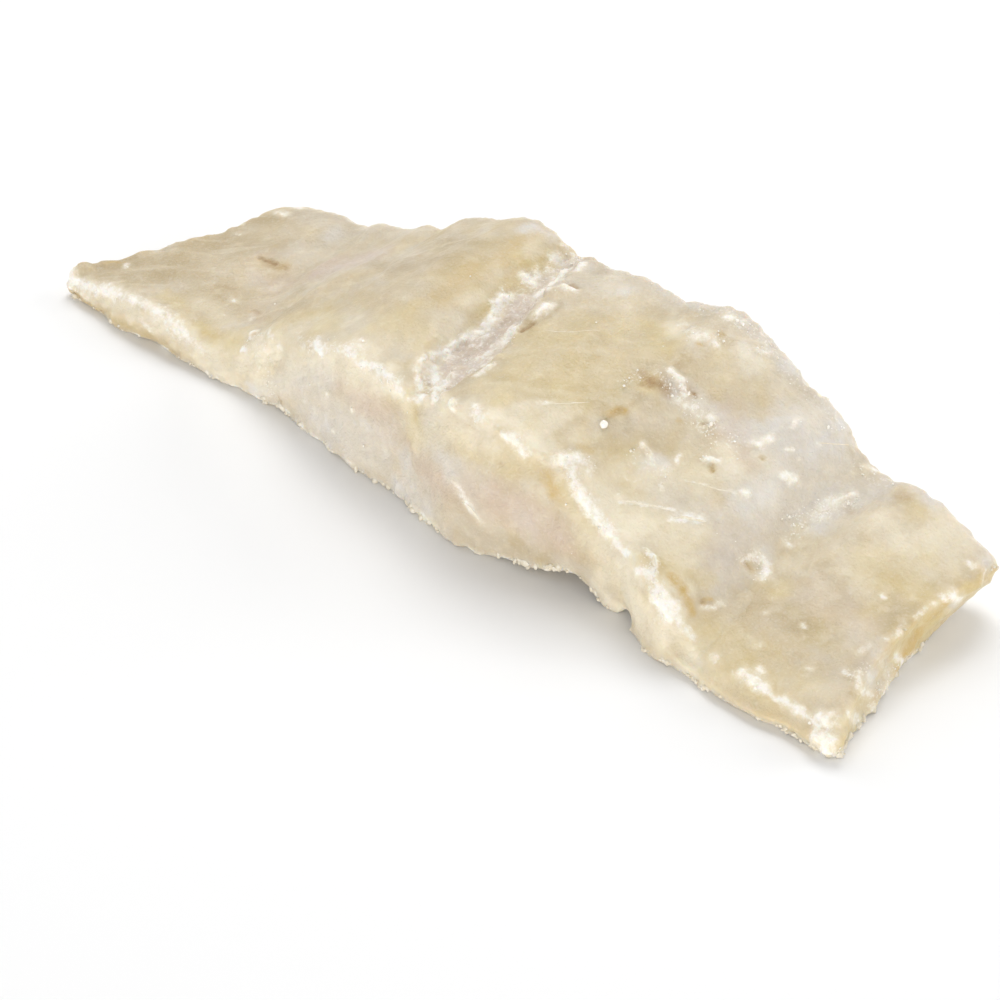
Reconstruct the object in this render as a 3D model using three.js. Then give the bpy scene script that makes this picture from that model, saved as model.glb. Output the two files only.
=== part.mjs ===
import * as THREE from 'three';
import { LoftGeometry } from 'three/addons/geometries/LoftGeometry.js';
import { ImprovedNoise } from 'three/addons/math/ImprovedNoise.js';
import { mergeVertices } from 'three/addons/utils/BufferGeometryUtils.js';

// A loin of salt cod, cut from the thick back of the fish and lying on its flat skin side.
// Millimetres, +Z up. X runs along the piece, from its thin left flap to the slab at its right
// end. Y runs from the low near side to the high far side. Z is the height over the underside.

const { clamp, lerp, smoothstep } = THREE.MathUtils;

// Where the near side ends, and how far each end is set back from there at a share of the way
// across. The rings lean like the end cuts over a stretch next to them, and stand square between.
const NEAR_LEFT_X = -101;
const NEAR_RIGHT_X = 98.5;
const LEFT_SETBACK = [[0, 0], [0.5, 11], [1, 19]];
const RIGHT_SETBACK = [[0, 0], [0.1, 2.4], [0.25, 4.4], [0.5, 6.8], [0.7, 5.6], [1, 3.8]];
const LEFT_LEAN_REACH = 45;
const RIGHT_LEAN_REACH = 30;
const RIGHT_UNDERCUT = 6;
const UNDERCUT_FROM_SHARE = 0.42;
const UNDERCUT_TO_SHARE = 0.9;

// The edges along the piece, each as its X and its place across or its height there.
const NEAR_FOOT_Y = [
	[-101, -26], [-70, -25.6], [-49, -24.4], [-42, -23], [-28, -25.3], [-14, -26.4], [0, -27.7],
	[12, -29.6], [21, -28.4], [28, -25.8], [37, -24.2], [45, -25.2], [48, -24.4], [53, -26.6], [58, -28.2],
	[77, -29.1], [98.5, -26.8],
];
const NEAR_RIM_Y = [
	[-101, -24.5], [-70, -24], [-42, -22], [-20, -23.5], [0, -24.5], [14, -25.5], [24, -24],
	[32, -22.2], [45, -22.5], [58, -26], [80, -26.5], [98.5, -24.5],
];
const NEAR_RIM_HEIGHT = [
	[-101, 5.4], [-85, 6.6], [-75, 7.4], [-60, 7], [-53, 9], [-46, 14.4], [-36, 18.4], [-30, 20.6],
	[-22, 24], [-14, 23.3], [-5, 23], [2, 25.2], [12, 27.3], [18, 26.8], [26, 24.4], [31, 23.8],
	[35, 20.5], [40, 16.4], [48, 14.5], [54, 13.4], [60, 9.4], [68, 6.2], [85, 5.2], [98.5, 7.4],
];
const FAR_RIM_Y = [[-82, 20], [-60, 21], [-20, 22.5], [20, 24], [34, 25], [50, 24], [93.5, 23]];
const FAR_RIM_HEIGHT = [
	[-82, 8.2], [-68, 12.9], [-60, 13.5], [-55, 17.6], [-48, 18.8], [-43, 21.4], [-39, 21.6], [-35, 26],
	[-27, 29.8], [-18, 33.4], [-9, 32.4], [0, 32.6], [14, 33], [21, 32.6], [28, 35.4], [36, 33.6],
	[43, 31.6], [50, 28.6], [55, 26.6], [58, 24], [63, 20], [68, 18.4], [73, 20.6], [82, 18.2], [93.5, 12.6],
];
const FAR_FOOT_Y = [[-82, 20], [-40, 21.5], [0, 23], [30, 24.5], [60, 23.5], [93.5, 21.5]];

// The near foot arches free of the table for a short stretch, up to a small notch.
const NEAR_FOOT_LIFT = [[18, 0], [29, 1.8], [36, 3.2], [40, 1.2], [43, 0], [46, 0], [49, 2], [52, 0]];
const LIFT_REACH = 16;

// Roundness of the four long edges, at most a share of the side beside them, and how far each side
// swells between its edges.
const NEAR_FOOT_RADIUS = 1.4;
const FAR_FOOT_RADIUS = 3;
const FAR_RIM_RADIUS = 5;
const NEAR_RIM_RADIUS = [[-101, 2.2], [-62, 2.4], [-47, 5], [-32, 3.5], [-20, 2.2], [98.5, 2.4]];
const MOST_ROUNDED_SHARE = 0.4;
const NEAR_FACE_SWELL = 0.9;
const FAR_FACE_SWELL = 1.6;
const TOP_SWELL = [
	[-100, 0.2], [-80, -0.6], [-62, -0.6], [-45, 1.2], [-20, 1.8], [30, 1.6], [62, 0.2], [98, 0.8],
];

// Steps round the section, corner by corner and side by side, and along the piece.
const FOOT_STEPS = 2;
const RIM_STEPS = 4;
const BOTTOM_STEPS = 6;
const FAR_FACE_STEPS = 6;
const TOP_STEPS = 24;
const NEAR_FACE_STEPS = 7;
const RING_STEP = 2.4;
const FINE_RING_STEP = 1.35;
const FINE_STRETCHES = [[-13, 7], [42, 52]];
const END_ROUNDING = 2;
const END_ROUNDING_UPWARD = 0.7;
const END_ROUNDING_STEPS = 3;
const END_FACE_SCALES = [0.72, 0.42, 0.16, 0];
const END_CENTRE_HEIGHT = 0.4;

// The crevice where two flakes have parted, by the X of its left wall and of its shallow right
// wall at each Y. Its floor is a trough, wide at the near side and narrow at the far side. The
// left wall is steep at the near side, and slopes gently from there to the far side.
const CREVICE_LEFT = [[-27, -2.5], [-22, -4.5], [-16, -8], [-9, -9.6], [10, -10.2], [24, -9.5]];
const CREVICE_RIGHT = [[-27, 3], [-19, 3.6], [-13, 4], [0, 0.5], [17, -3], [24, -5]];
const CREVICE_DEPTH = 2.4;
const CREVICE_LEFT_WALL = [[-27, 1.4], [-16, 1.6], [-9, 5], [10, 6], [24, 4]];
const CREVICE_RIGHT_WALL = 3.2;
const CREVICE_FADE = [[-27, 0.3], [-21, 1], [12, 1], [24, 0.3]];

// Shallow seams between flakes, running from the near rim to the far rim.
const SEAM_NEAR_Y = -25;
const SEAM_FAR_Y = 23;
const SEAMS = [
	{ nearX: -49, farX: -55, depth: 0.7, left: 3, right: 3 },
	{ nearX: 32, farX: 26, depth: 0.9, left: 2.5, right: 3.5 },
	{ nearX: 67, farX: 63, depth: 1.5, left: 7, right: 4 },
];

// Hollows and lumps that stand alone: where each lies, how wide it is and how far it stands out.
const MOUNDS = [
	{ x: -68, y: -1, across: 6, along: 3, rise: -0.7 },
	{ x: -56, y: -19, across: 4, along: 4, rise: 0.9 },
	{ x: 47, y: -2, across: 3, along: 3, rise: -0.7 },
	{ x: 65, y: -12, across: 3, along: 2.6, rise: -0.8 },
	{ x: 51, y: 7, across: 4, along: 4, rise: -0.6 },
	{ x: 76, y: 12, across: 7, along: 5, rise: 0.7 },
	{ x: 41, y: 12, across: 6, along: 5, rise: 0.6 },
];

// Which way the skin faces where it counts as the top, and where as the near face.
const TOP_NORMAL_FROM = 0.1;
const TOP_NORMAL_TO = 0.7;
const NEAR_FACE_NORMAL_FROM = 0.4;
const NEAR_FACE_NORMAL_TO = 0.9;

// The uneven flesh: broad waves, the slanting grain of the near face, and crumbs along the edges.
const BROAD_WAVE = 15;
const BROAD_RISE = 1.2;
const FINE_WAVE = 6;
const FINE_RISE = 0.5;
const GRAIN_WAVE = 4.6;
const GRAIN_SLANT = 0.75;
const GRAIN_RISE = 0.35;
const CRUMB_WAVE = 2.7;
const CRUMB_RISE = 1.1;
const CRUMB_REACH = 4.5;
const UNDERSIDE_HEIGHT = 0.3;
const UNDERSIDE_NORMAL_Z = -0.9;

const noise = new ImprovedNoise();

// A smooth curve through a few stations.
function curveThrough(stations) {
	const places = stations.map((station) => station[0]);
	const sizes = stations.map((station) => station[1]);
	const curve = new THREE.CubicInterpolant(places, sizes, 1, [0]);
	return (place) => curve.evaluate(clamp(place, places[0], places.at(-1)))[0];
}

const leftSetback = curveThrough(LEFT_SETBACK);
const rightSetback = curveThrough(RIGHT_SETBACK);
const nearFootY = curveThrough(NEAR_FOOT_Y);
const nearRimY = curveThrough(NEAR_RIM_Y);
const nearRimHeight = curveThrough(NEAR_RIM_HEIGHT);
const nearRimRadius = curveThrough(NEAR_RIM_RADIUS);
const nearFootLift = curveThrough(NEAR_FOOT_LIFT);
const farRimY = curveThrough(FAR_RIM_Y);
const farRimHeight = curveThrough(FAR_RIM_HEIGHT);
const farFootY = curveThrough(FAR_FOOT_Y);
const topSwell = curveThrough(TOP_SWELL);
const creviceLeft = curveThrough(CREVICE_LEFT);
const creviceLeftWall = curveThrough(CREVICE_LEFT_WALL);
const creviceRight = curveThrough(CREVICE_RIGHT);
const creviceFade = curveThrough(CREVICE_FADE);

// How far a ring leans along X at a share of the way across.
function leanAt(nearX, share) {
	return leftSetback(share) * leftShare(nearX) - rightSetback(share) * rightShare(nearX);
}

function leftShare(nearX) {
	return clamp(1 - (nearX - NEAR_LEFT_X) / LEFT_LEAN_REACH, 0, 1);
}

function rightShare(nearX) {
	return clamp(1 - (NEAR_RIGHT_X - nearX) / RIGHT_LEAN_REACH, 0, 1);
}

// One closed section, counterclockwise as seen from the right end: near foot, far foot, far rim
// and near rim, each rounded, with a side from each of them to the next.
function sectionAt(nearX) {
	const farX = nearX + leanAt(nearX, 1);
	const corners = [
		{
			at: new THREE.Vector3(nearX, nearFootY(nearX), underside(nearX, 0)),
			radius: NEAR_FOOT_RADIUS,
			steps: FOOT_STEPS,
			sideSteps: BOTTOM_STEPS,
			swell: new THREE.Vector3(),
		},
		{
			at: new THREE.Vector3(farX, farFootY(farX), 0),
			radius: FAR_FOOT_RADIUS,
			steps: FOOT_STEPS,
			sideSteps: FAR_FACE_STEPS,
			swell: new THREE.Vector3(0, FAR_FACE_SWELL, 0),
		},
		{
			at: new THREE.Vector3(farX, farRimY(farX), farRimHeight(farX)),
			radius: FAR_RIM_RADIUS,
			steps: RIM_STEPS,
			sideSteps: TOP_STEPS,
			swell: new THREE.Vector3(0, 0, topSwell((nearX + farX) / 2)),
		},
		{
			at: new THREE.Vector3(nearX, nearRimY(nearX), nearRimHeight(nearX)),
			radius: nearRimRadius(nearX),
			steps: RIM_STEPS,
			sideSteps: NEAR_FACE_STEPS,
			swell: new THREE.Vector3(0, -NEAR_FACE_SWELL, 0),
		},
	];
	const points = [];
	corners.forEach((corner, index) => {
		const before = corners[(index + 3) % 4];
		const after = corners[(index + 1) % 4];
		const start = cutBack(corner, before.at);
		const end = cutBack(corner, after.at);
		const sideEnd = cutBack(after, corner.at);
		points.push(...new THREE.QuadraticBezierCurve3(start, corner.at, end).getPoints(corner.steps));
		for (let step = 1; step < corner.sideSteps; step++) {
			const share = step / corner.sideSteps;
			const point = end.clone().lerp(sideEnd, share);
			point.addScaledVector(corner.swell, Math.sin(Math.PI * share));
			if (corner === corners[0]) {
				point.z = underside(nearX, point.y - corner.at.y);
			}
			points.push(point);
		}
	});
	return leant(points, nearX);
}

// The height of the underside at a distance in from the near foot, where it is lifted at all.
function underside(nearX, inward) {
	return Math.max(nearFootLift(nearX), 0) * (1 - smoothstep(inward, 0, LIFT_REACH));
}

// Moves the points of a ring along X to where its lean puts them. The far half of the right end is
// undercut too: its foot draws back from its upper edge.
function leant(points, nearX) {
	const nearY = nearFootY(nearX);
	const farX = nearX + leanAt(nearX, 1);
	const width = farRimY(farX) - nearY;
	for (const point of points) {
		const share = clamp((point.y - nearY) / width, 0, 1);
		const height = lerp(nearRimHeight(nearX), farRimHeight(farX), share);
		const depth = RIGHT_UNDERCUT * smoothstep(share, UNDERCUT_FROM_SHARE, UNDERCUT_TO_SHARE);
		const undercut = depth * rightShare(nearX) * (1 - clamp(point.z / height, 0, 1));
		point.x = nearX + leanAt(nearX, share) - undercut;
	}
	return points;
}

// The point on the way from a corner to its neighbour where the rounding of the corner starts.
function cutBack(corner, neighbour) {
	const gap = corner.at.distanceTo(neighbour);
	return corner.at.clone().lerp(neighbour, Math.min(corner.radius / gap, MOST_ROUNDED_SHARE));
}

// A ring drawn in towards its middle, by one share across and another up.
function shrunk(ring, nearX, acrossScale, upScale) {
	const box = new THREE.Box3().setFromPoints(ring);
	const middleY = (box.min.y + box.max.y) / 2;
	const middleZ = lerp(box.min.z, box.max.z, END_CENTRE_HEIGHT);
	const points = ring.map((point) => new THREE.Vector3(
		point.x,
		lerp(middleY, point.y, acrossScale),
		lerp(middleZ, point.z, upScale),
	));
	return leant(points, nearX);
}

// The rings of one end, from the last full section to the middle of the cut face.
function endRings(nearX, outward) {
	const full = sectionAt(nearX - outward * END_ROUNDING);
	const size = new THREE.Box3().setFromPoints(full).getSize(new THREE.Vector3());
	const rings = [];
	for (let step = 1; step <= END_ROUNDING_STEPS; step++) {
		const angle = (step / END_ROUNDING_STEPS) * Math.PI / 2;
		const inset = END_ROUNDING * (1 - Math.cos(angle));
		const ringX = nearX - outward * END_ROUNDING * (1 - Math.sin(angle));
		const acrossScale = 1 - 2 * inset / size.y;
		const upScale = 1 - 2 * END_ROUNDING_UPWARD * inset / size.z;
		rings.push(shrunk(sectionAt(ringX), ringX, acrossScale, upScale));
	}
	const rim = rings.at(-1);
	return rings.concat(END_FACE_SCALES.map((scale) => shrunk(rim, nearX, scale, scale)));
}

function allSections() {
	const sections = endRings(NEAR_LEFT_X, -1).reverse();
	let x = NEAR_LEFT_X + END_ROUNDING;
	while (x < NEAR_RIGHT_X - END_ROUNDING - FINE_RING_STEP) {
		sections.push(sectionAt(x));
		const isFine = FINE_STRETCHES.some(([from, to]) => x > from && x < to);
		x += isFine ? FINE_RING_STEP : RING_STEP;
	}
	sections.push(sectionAt(NEAR_RIGHT_X - END_ROUNDING));
	return sections.concat(endRings(NEAR_RIGHT_X, 1));
}

function creviceDepth(x, y) {
	const left = creviceLeft(y);
	const right = creviceRight(y);
	const wall = creviceLeftWall(y);
	const leftWall = smoothstep(x, left - wall / 2, left + wall / 2);
	const rightWall = 1 - smoothstep(x, right - CREVICE_RIGHT_WALL / 2, right + CREVICE_RIGHT_WALL / 2);
	return CREVICE_DEPTH * creviceFade(y) * leftWall * rightWall;
}

function seamDepth(seam, x, y) {
	const line = lerp(seam.nearX, seam.farX, (y - SEAM_NEAR_Y) / (SEAM_FAR_Y - SEAM_NEAR_Y));
	const reach = x < line ? seam.left : seam.right;
	return seam.depth * (1 - smoothstep(Math.abs(x - line), 0, reach));
}

function moundRise(mound, x, y) {
	const away = Math.hypot((x - mound.x) / mound.along, (y - mound.y) / mound.across);
	return mound.rise * (1 - smoothstep(away, 0, 1));
}

// How near a point lies to one of the crumbling edges: the feet, the far rim and the two cuts.
function edgeShare(point) {
	const foot = 1 - smoothstep(point.z, 0, CRUMB_REACH);
	const farEdge = smoothstep(point.y, farRimY(point.x) - CRUMB_REACH, farRimY(point.x));
	const across = (point.y - nearFootY(point.x)) / (farRimY(point.x) - nearFootY(point.x));
	const leftEnd = NEAR_LEFT_X + leanAt(NEAR_LEFT_X, clamp(across, 0, 1));
	const rightEnd = NEAR_RIGHT_X + leanAt(NEAR_RIGHT_X, clamp(across, 0, 1));
	const cut = 1 - smoothstep(Math.min(point.x - leftEnd, rightEnd - point.x), 0, CRUMB_REACH);
	return Math.max(foot, farEdge, cut);
}

// Smooth unevenness between about -0.7 and 0.7, with waves of one length.
function waves(x, y, z, length) {
	return noise.noise(x / length, y / length, z / length);
}

// How far the flesh stands out from the plain form at a point, along its normal.
function reliefAt(point, normal) {
	const { x, y, z } = point;
	const upward = smoothstep(normal.z, TOP_NORMAL_FROM, TOP_NORMAL_TO);
	const nearward = smoothstep(-normal.y, NEAR_FACE_NORMAL_FROM, NEAR_FACE_NORMAL_TO);
	let rise = BROAD_RISE * waves(x, y, z, BROAD_WAVE);
	rise += FINE_RISE * waves(x, y, z, FINE_WAVE);
	rise += CRUMB_RISE * edgeShare(point) * waves(x, y, z, CRUMB_WAVE);
	rise += GRAIN_RISE * nearward * waves(x + GRAIN_SLANT * z, 0, z * GRAIN_WAVE / BROAD_WAVE, GRAIN_WAVE);
	rise -= upward * creviceDepth(x, y);
	for (const seam of SEAMS) {
		rise -= upward * seamDepth(seam, x, y);
	}
	for (const mound of MOUNDS) {
		rise += upward * moundRise(mound, x, y);
	}
	return rise;
}

// The loft as one closed skin. Its last ring at each end is a single point, where one of each
// pair of triangles has no area and is dropped.
function joined(loft) {
	const skin = new THREE.BufferGeometry();
	skin.setIndex(loft.index);
	skin.setAttribute('position', loft.getAttribute('position'));
	const merged = mergeVertices(skin);
	const corners = merged.index.array;
	const kept = [];
	for (let first = 0; first < corners.length; first += 3) {
		const triangle = corners.slice(first, first + 3);
		if (new Set(triangle).size === 3) {
			kept.push(...triangle);
		}
	}
	merged.setIndex(kept);
	return merged;
}

// The plain loft of the sections, then the relief, which leaves the underside flat.
function loinGeometry() {
	const geometry = joined(new LoftGeometry(allSections()));
	geometry.computeVertexNormals();
	const positions = geometry.getAttribute('position');
	const normals = geometry.getAttribute('normal');
	const point = new THREE.Vector3();
	const normal = new THREE.Vector3();
	for (let index = 0; index < positions.count; index++) {
		point.fromBufferAttribute(positions, index);
		normal.fromBufferAttribute(normals, index);
		if (point.z > UNDERSIDE_HEIGHT || normal.z > UNDERSIDE_NORMAL_Z) {
			point.addScaledVector(normal, reliefAt(point, normal));
		}
		positions.setXYZ(index, point.x, point.y, Math.max(point.z, 0));
	}
	geometry.computeBoundingBox();
	const middle = geometry.boundingBox.getCenter(new THREE.Vector3());
	geometry.translate(-middle.x, -middle.y, 0);
	geometry.computeVertexNormals();
	return geometry;
}

const flesh = new THREE.MeshStandardMaterial({ color: 0xe0cda6, roughness: 0.5, metalness: 0 });
const loin = new THREE.Mesh(loinGeometry(), flesh);
loin.name = 'cod_loin';

const part = new THREE.Group();
part.add(loin);

export default part;
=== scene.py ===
import math

import bmesh
import bpy
import numpy as np
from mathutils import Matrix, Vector
from mathutils.bvhtree import BVHTree


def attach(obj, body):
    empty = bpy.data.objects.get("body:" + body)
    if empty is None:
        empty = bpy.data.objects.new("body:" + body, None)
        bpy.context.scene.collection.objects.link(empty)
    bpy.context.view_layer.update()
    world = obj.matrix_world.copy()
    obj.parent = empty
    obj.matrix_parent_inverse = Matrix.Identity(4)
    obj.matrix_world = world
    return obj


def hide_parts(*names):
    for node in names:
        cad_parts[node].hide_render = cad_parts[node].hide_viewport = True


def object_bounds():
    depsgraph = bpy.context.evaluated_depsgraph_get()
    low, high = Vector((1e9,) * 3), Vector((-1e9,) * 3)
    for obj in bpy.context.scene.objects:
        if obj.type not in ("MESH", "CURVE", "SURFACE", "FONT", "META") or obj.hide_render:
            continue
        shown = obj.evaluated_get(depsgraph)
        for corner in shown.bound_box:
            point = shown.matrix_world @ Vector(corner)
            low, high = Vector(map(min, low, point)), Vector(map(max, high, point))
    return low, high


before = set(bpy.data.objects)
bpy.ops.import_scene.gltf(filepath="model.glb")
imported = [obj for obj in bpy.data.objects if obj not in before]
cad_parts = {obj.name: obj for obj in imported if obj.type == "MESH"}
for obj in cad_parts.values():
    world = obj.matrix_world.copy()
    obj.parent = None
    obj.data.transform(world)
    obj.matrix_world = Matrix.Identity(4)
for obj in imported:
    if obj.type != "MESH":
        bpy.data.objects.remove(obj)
cad_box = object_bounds()

# The flesh. One thick piece cut across the back of a cod, dry-salted and chilled: waxy straw and
# cream muscle with greyish see-through zones. Its flakes have parted at a frosted crevice, and its
# cut edges crumble. It lies on its flat underside.
MM = 0.001
SKIN_GRID = 0.5 * MM
SMOOTHING_ROUNDS = 14
# The second smoothing swells the edges back to where they were before the first wore them down.
SMOOTHING_PUSHES = (0.5, -0.52)
UNDERSIDE_SNAP = 0.12
FLAT_WITHIN = math.radians(0.02)


def eased(values, low, high):
    """From 0 at low to 1 at high, easing in and out."""
    share = np.clip((values - low) / (high - low), 0, 1)
    return share * share * (3 - 2 * share)


def along(places, stations):
    """A value that follows a few (place, value) stations."""
    where, sizes = zip(*stations)
    return np.interp(places, where, sizes)


lattice_dice = np.random.default_rng(7)
LATTICE_SLOPES = lattice_dice.normal(size=(4096, 3))
LATTICE_SLOPES /= np.linalg.norm(LATTICE_SLOPES, axis=1)[:, None]


def waves(places, length, drift=0.0):
    """Smooth unevenness from about -1 to 1, with waves of one length."""
    spots = places / length + drift
    cells = np.floor(spots).astype(np.int64)
    inner = spots - cells
    ease = inner ** 3 * (inner * (inner * 6 - 15) + 10)
    total = np.zeros(len(spots))
    for corner in np.ndindex(2, 2, 2):
        x, y, z = (cells + corner).T
        slopes = LATTICE_SLOPES[(x * 73856093 ^ y * 19349663 ^ z * 83492791) % len(LATTICE_SLOPES)]
        rise = ((inner - corner) * slopes).sum(axis=1)
        total += rise * np.prod(np.where(corner, ease, 1 - ease), axis=1)
    return total * 1.6


def per_point(mesh, label):
    """What a mesh holds for each of its points under a label: three numbers each."""
    flat = np.empty(len(mesh.vertices) * 3)
    mesh.vertices.foreach_get(label, flat)
    return flat.reshape(-1, 3)


def mesh_points(mesh):
    """A mesh's points in mm."""
    return per_point(mesh, "co") / MM


def set_points(mesh, places):
    """Moves a mesh's points to places in mm, and holds them inside the CAD box."""
    low, high = (np.array(corner) for corner in cad_box)
    mesh.vertices.foreach_set("co", np.clip(places * MM, low, high).ravel())
    mesh.update()


def work_in(piece):
    """Works a piece's modifiers into its mesh."""
    shown = piece.evaluated_get(bpy.context.evaluated_depsgraph_get())
    made = bpy.data.meshes.new_from_object(shown)
    piece.modifiers.clear()
    piece.data = made


flesh = bpy.data.objects.new("loin_flesh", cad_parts["cod_loin"].data.copy())
bpy.context.scene.collection.objects.link(flesh)
skin = flesh.modifiers.new("even skin", "REMESH")
skin.mode = "VOXEL"
skin.voxel_size = SKIN_GRID
for push in SMOOTHING_PUSHES:
    smoothing = flesh.modifiers.new("ease facets", "SMOOTH")
    smoothing.factor = push
    smoothing.iterations = SMOOTHING_ROUNDS
work_in(flesh)
points = mesh_points(flesh.data)
points[points[:, 2] < UNDERSIDE_SNAP, 2] = 0
set_points(flesh.data, points)
flat_underside = flesh.modifiers.new("flat underside", "DECIMATE")
flat_underside.decimate_type = "DISSOLVE"
flat_underside.angle_limit = FLAT_WITHIN
work_in(flesh)

points = mesh_points(flesh.data)
normals = per_point(flesh.data, "normal")
x, y, z = points.T

# How far the surface counts as top, near face, far face, cut end and underside: shares of one.
END_REACH = 7
left_cut = along(y, [(-25, x.min()), (0, -89), (22, -80)])
right_cut = along(y, [(-26, x.max()), (-14, 95), (0, 92.5), (12, 94), (22, 96)])
at_cut = 1 - eased(np.minimum(x - left_cut, right_cut - x), 1, END_REACH)
facing = {
    "top": np.clip(normals[:, 2], 0, 1) ** 3 + np.abs(normals[:, 0]) ** 3 * (1 - at_cut),
    "near": np.clip(-normals[:, 1], 0, 1) ** 3,
    "far": np.clip(normals[:, 1], 0, 1) ** 3,
    "end": np.abs(normals[:, 0]) ** 3 * at_cut,
    "under": np.clip(-normals[:, 2], 0, 1) ** 3,
}
whole = sum(facing.values())
facing = {side: share / whole for side, share in facing.items()}
hidden = facing["far"] + facing["under"]

# The crevice runs across the loin between a left and a right rim, given as (y, x) stations.
CREVICE_LEFT = [(-25.4, -1.7), (-20.4, -3.7), (-15.4, -7.4), (-4, -7), (0, -6.8), (6, -8.3), (25.6, -8.3)]
CREVICE_RIGHT = [(-25.4, 3.8), (-17.4, 5.4), (-11.4, 4.8), (1.6, 2.3), (18.6, -1.2), (25.6, -4.2)]
RIM_WANDER = 0.9
RIM_WAVE = 3.5
RIM_WIDTH = 0.9
crevice_left = along(y, CREVICE_LEFT) + RIM_WANDER * waves(points, RIM_WAVE, 17)
crevice_right = along(y, CREVICE_RIGHT) + RIM_WANDER * waves(points, RIM_WAVE, 19)
high_top = facing["top"] * eased(z, 18, 20)
in_crevice = eased(x, crevice_left - 0.6, crevice_left + 1) * high_top
in_crevice *= 1 - eased(x, crevice_right - 1, crevice_right + 1.2)
crevice_rims = sum(np.exp(-((x - rim) / RIM_WIDTH) ** 2) for rim in (crevice_left, crevice_right))
crevice_rims *= high_top

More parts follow.
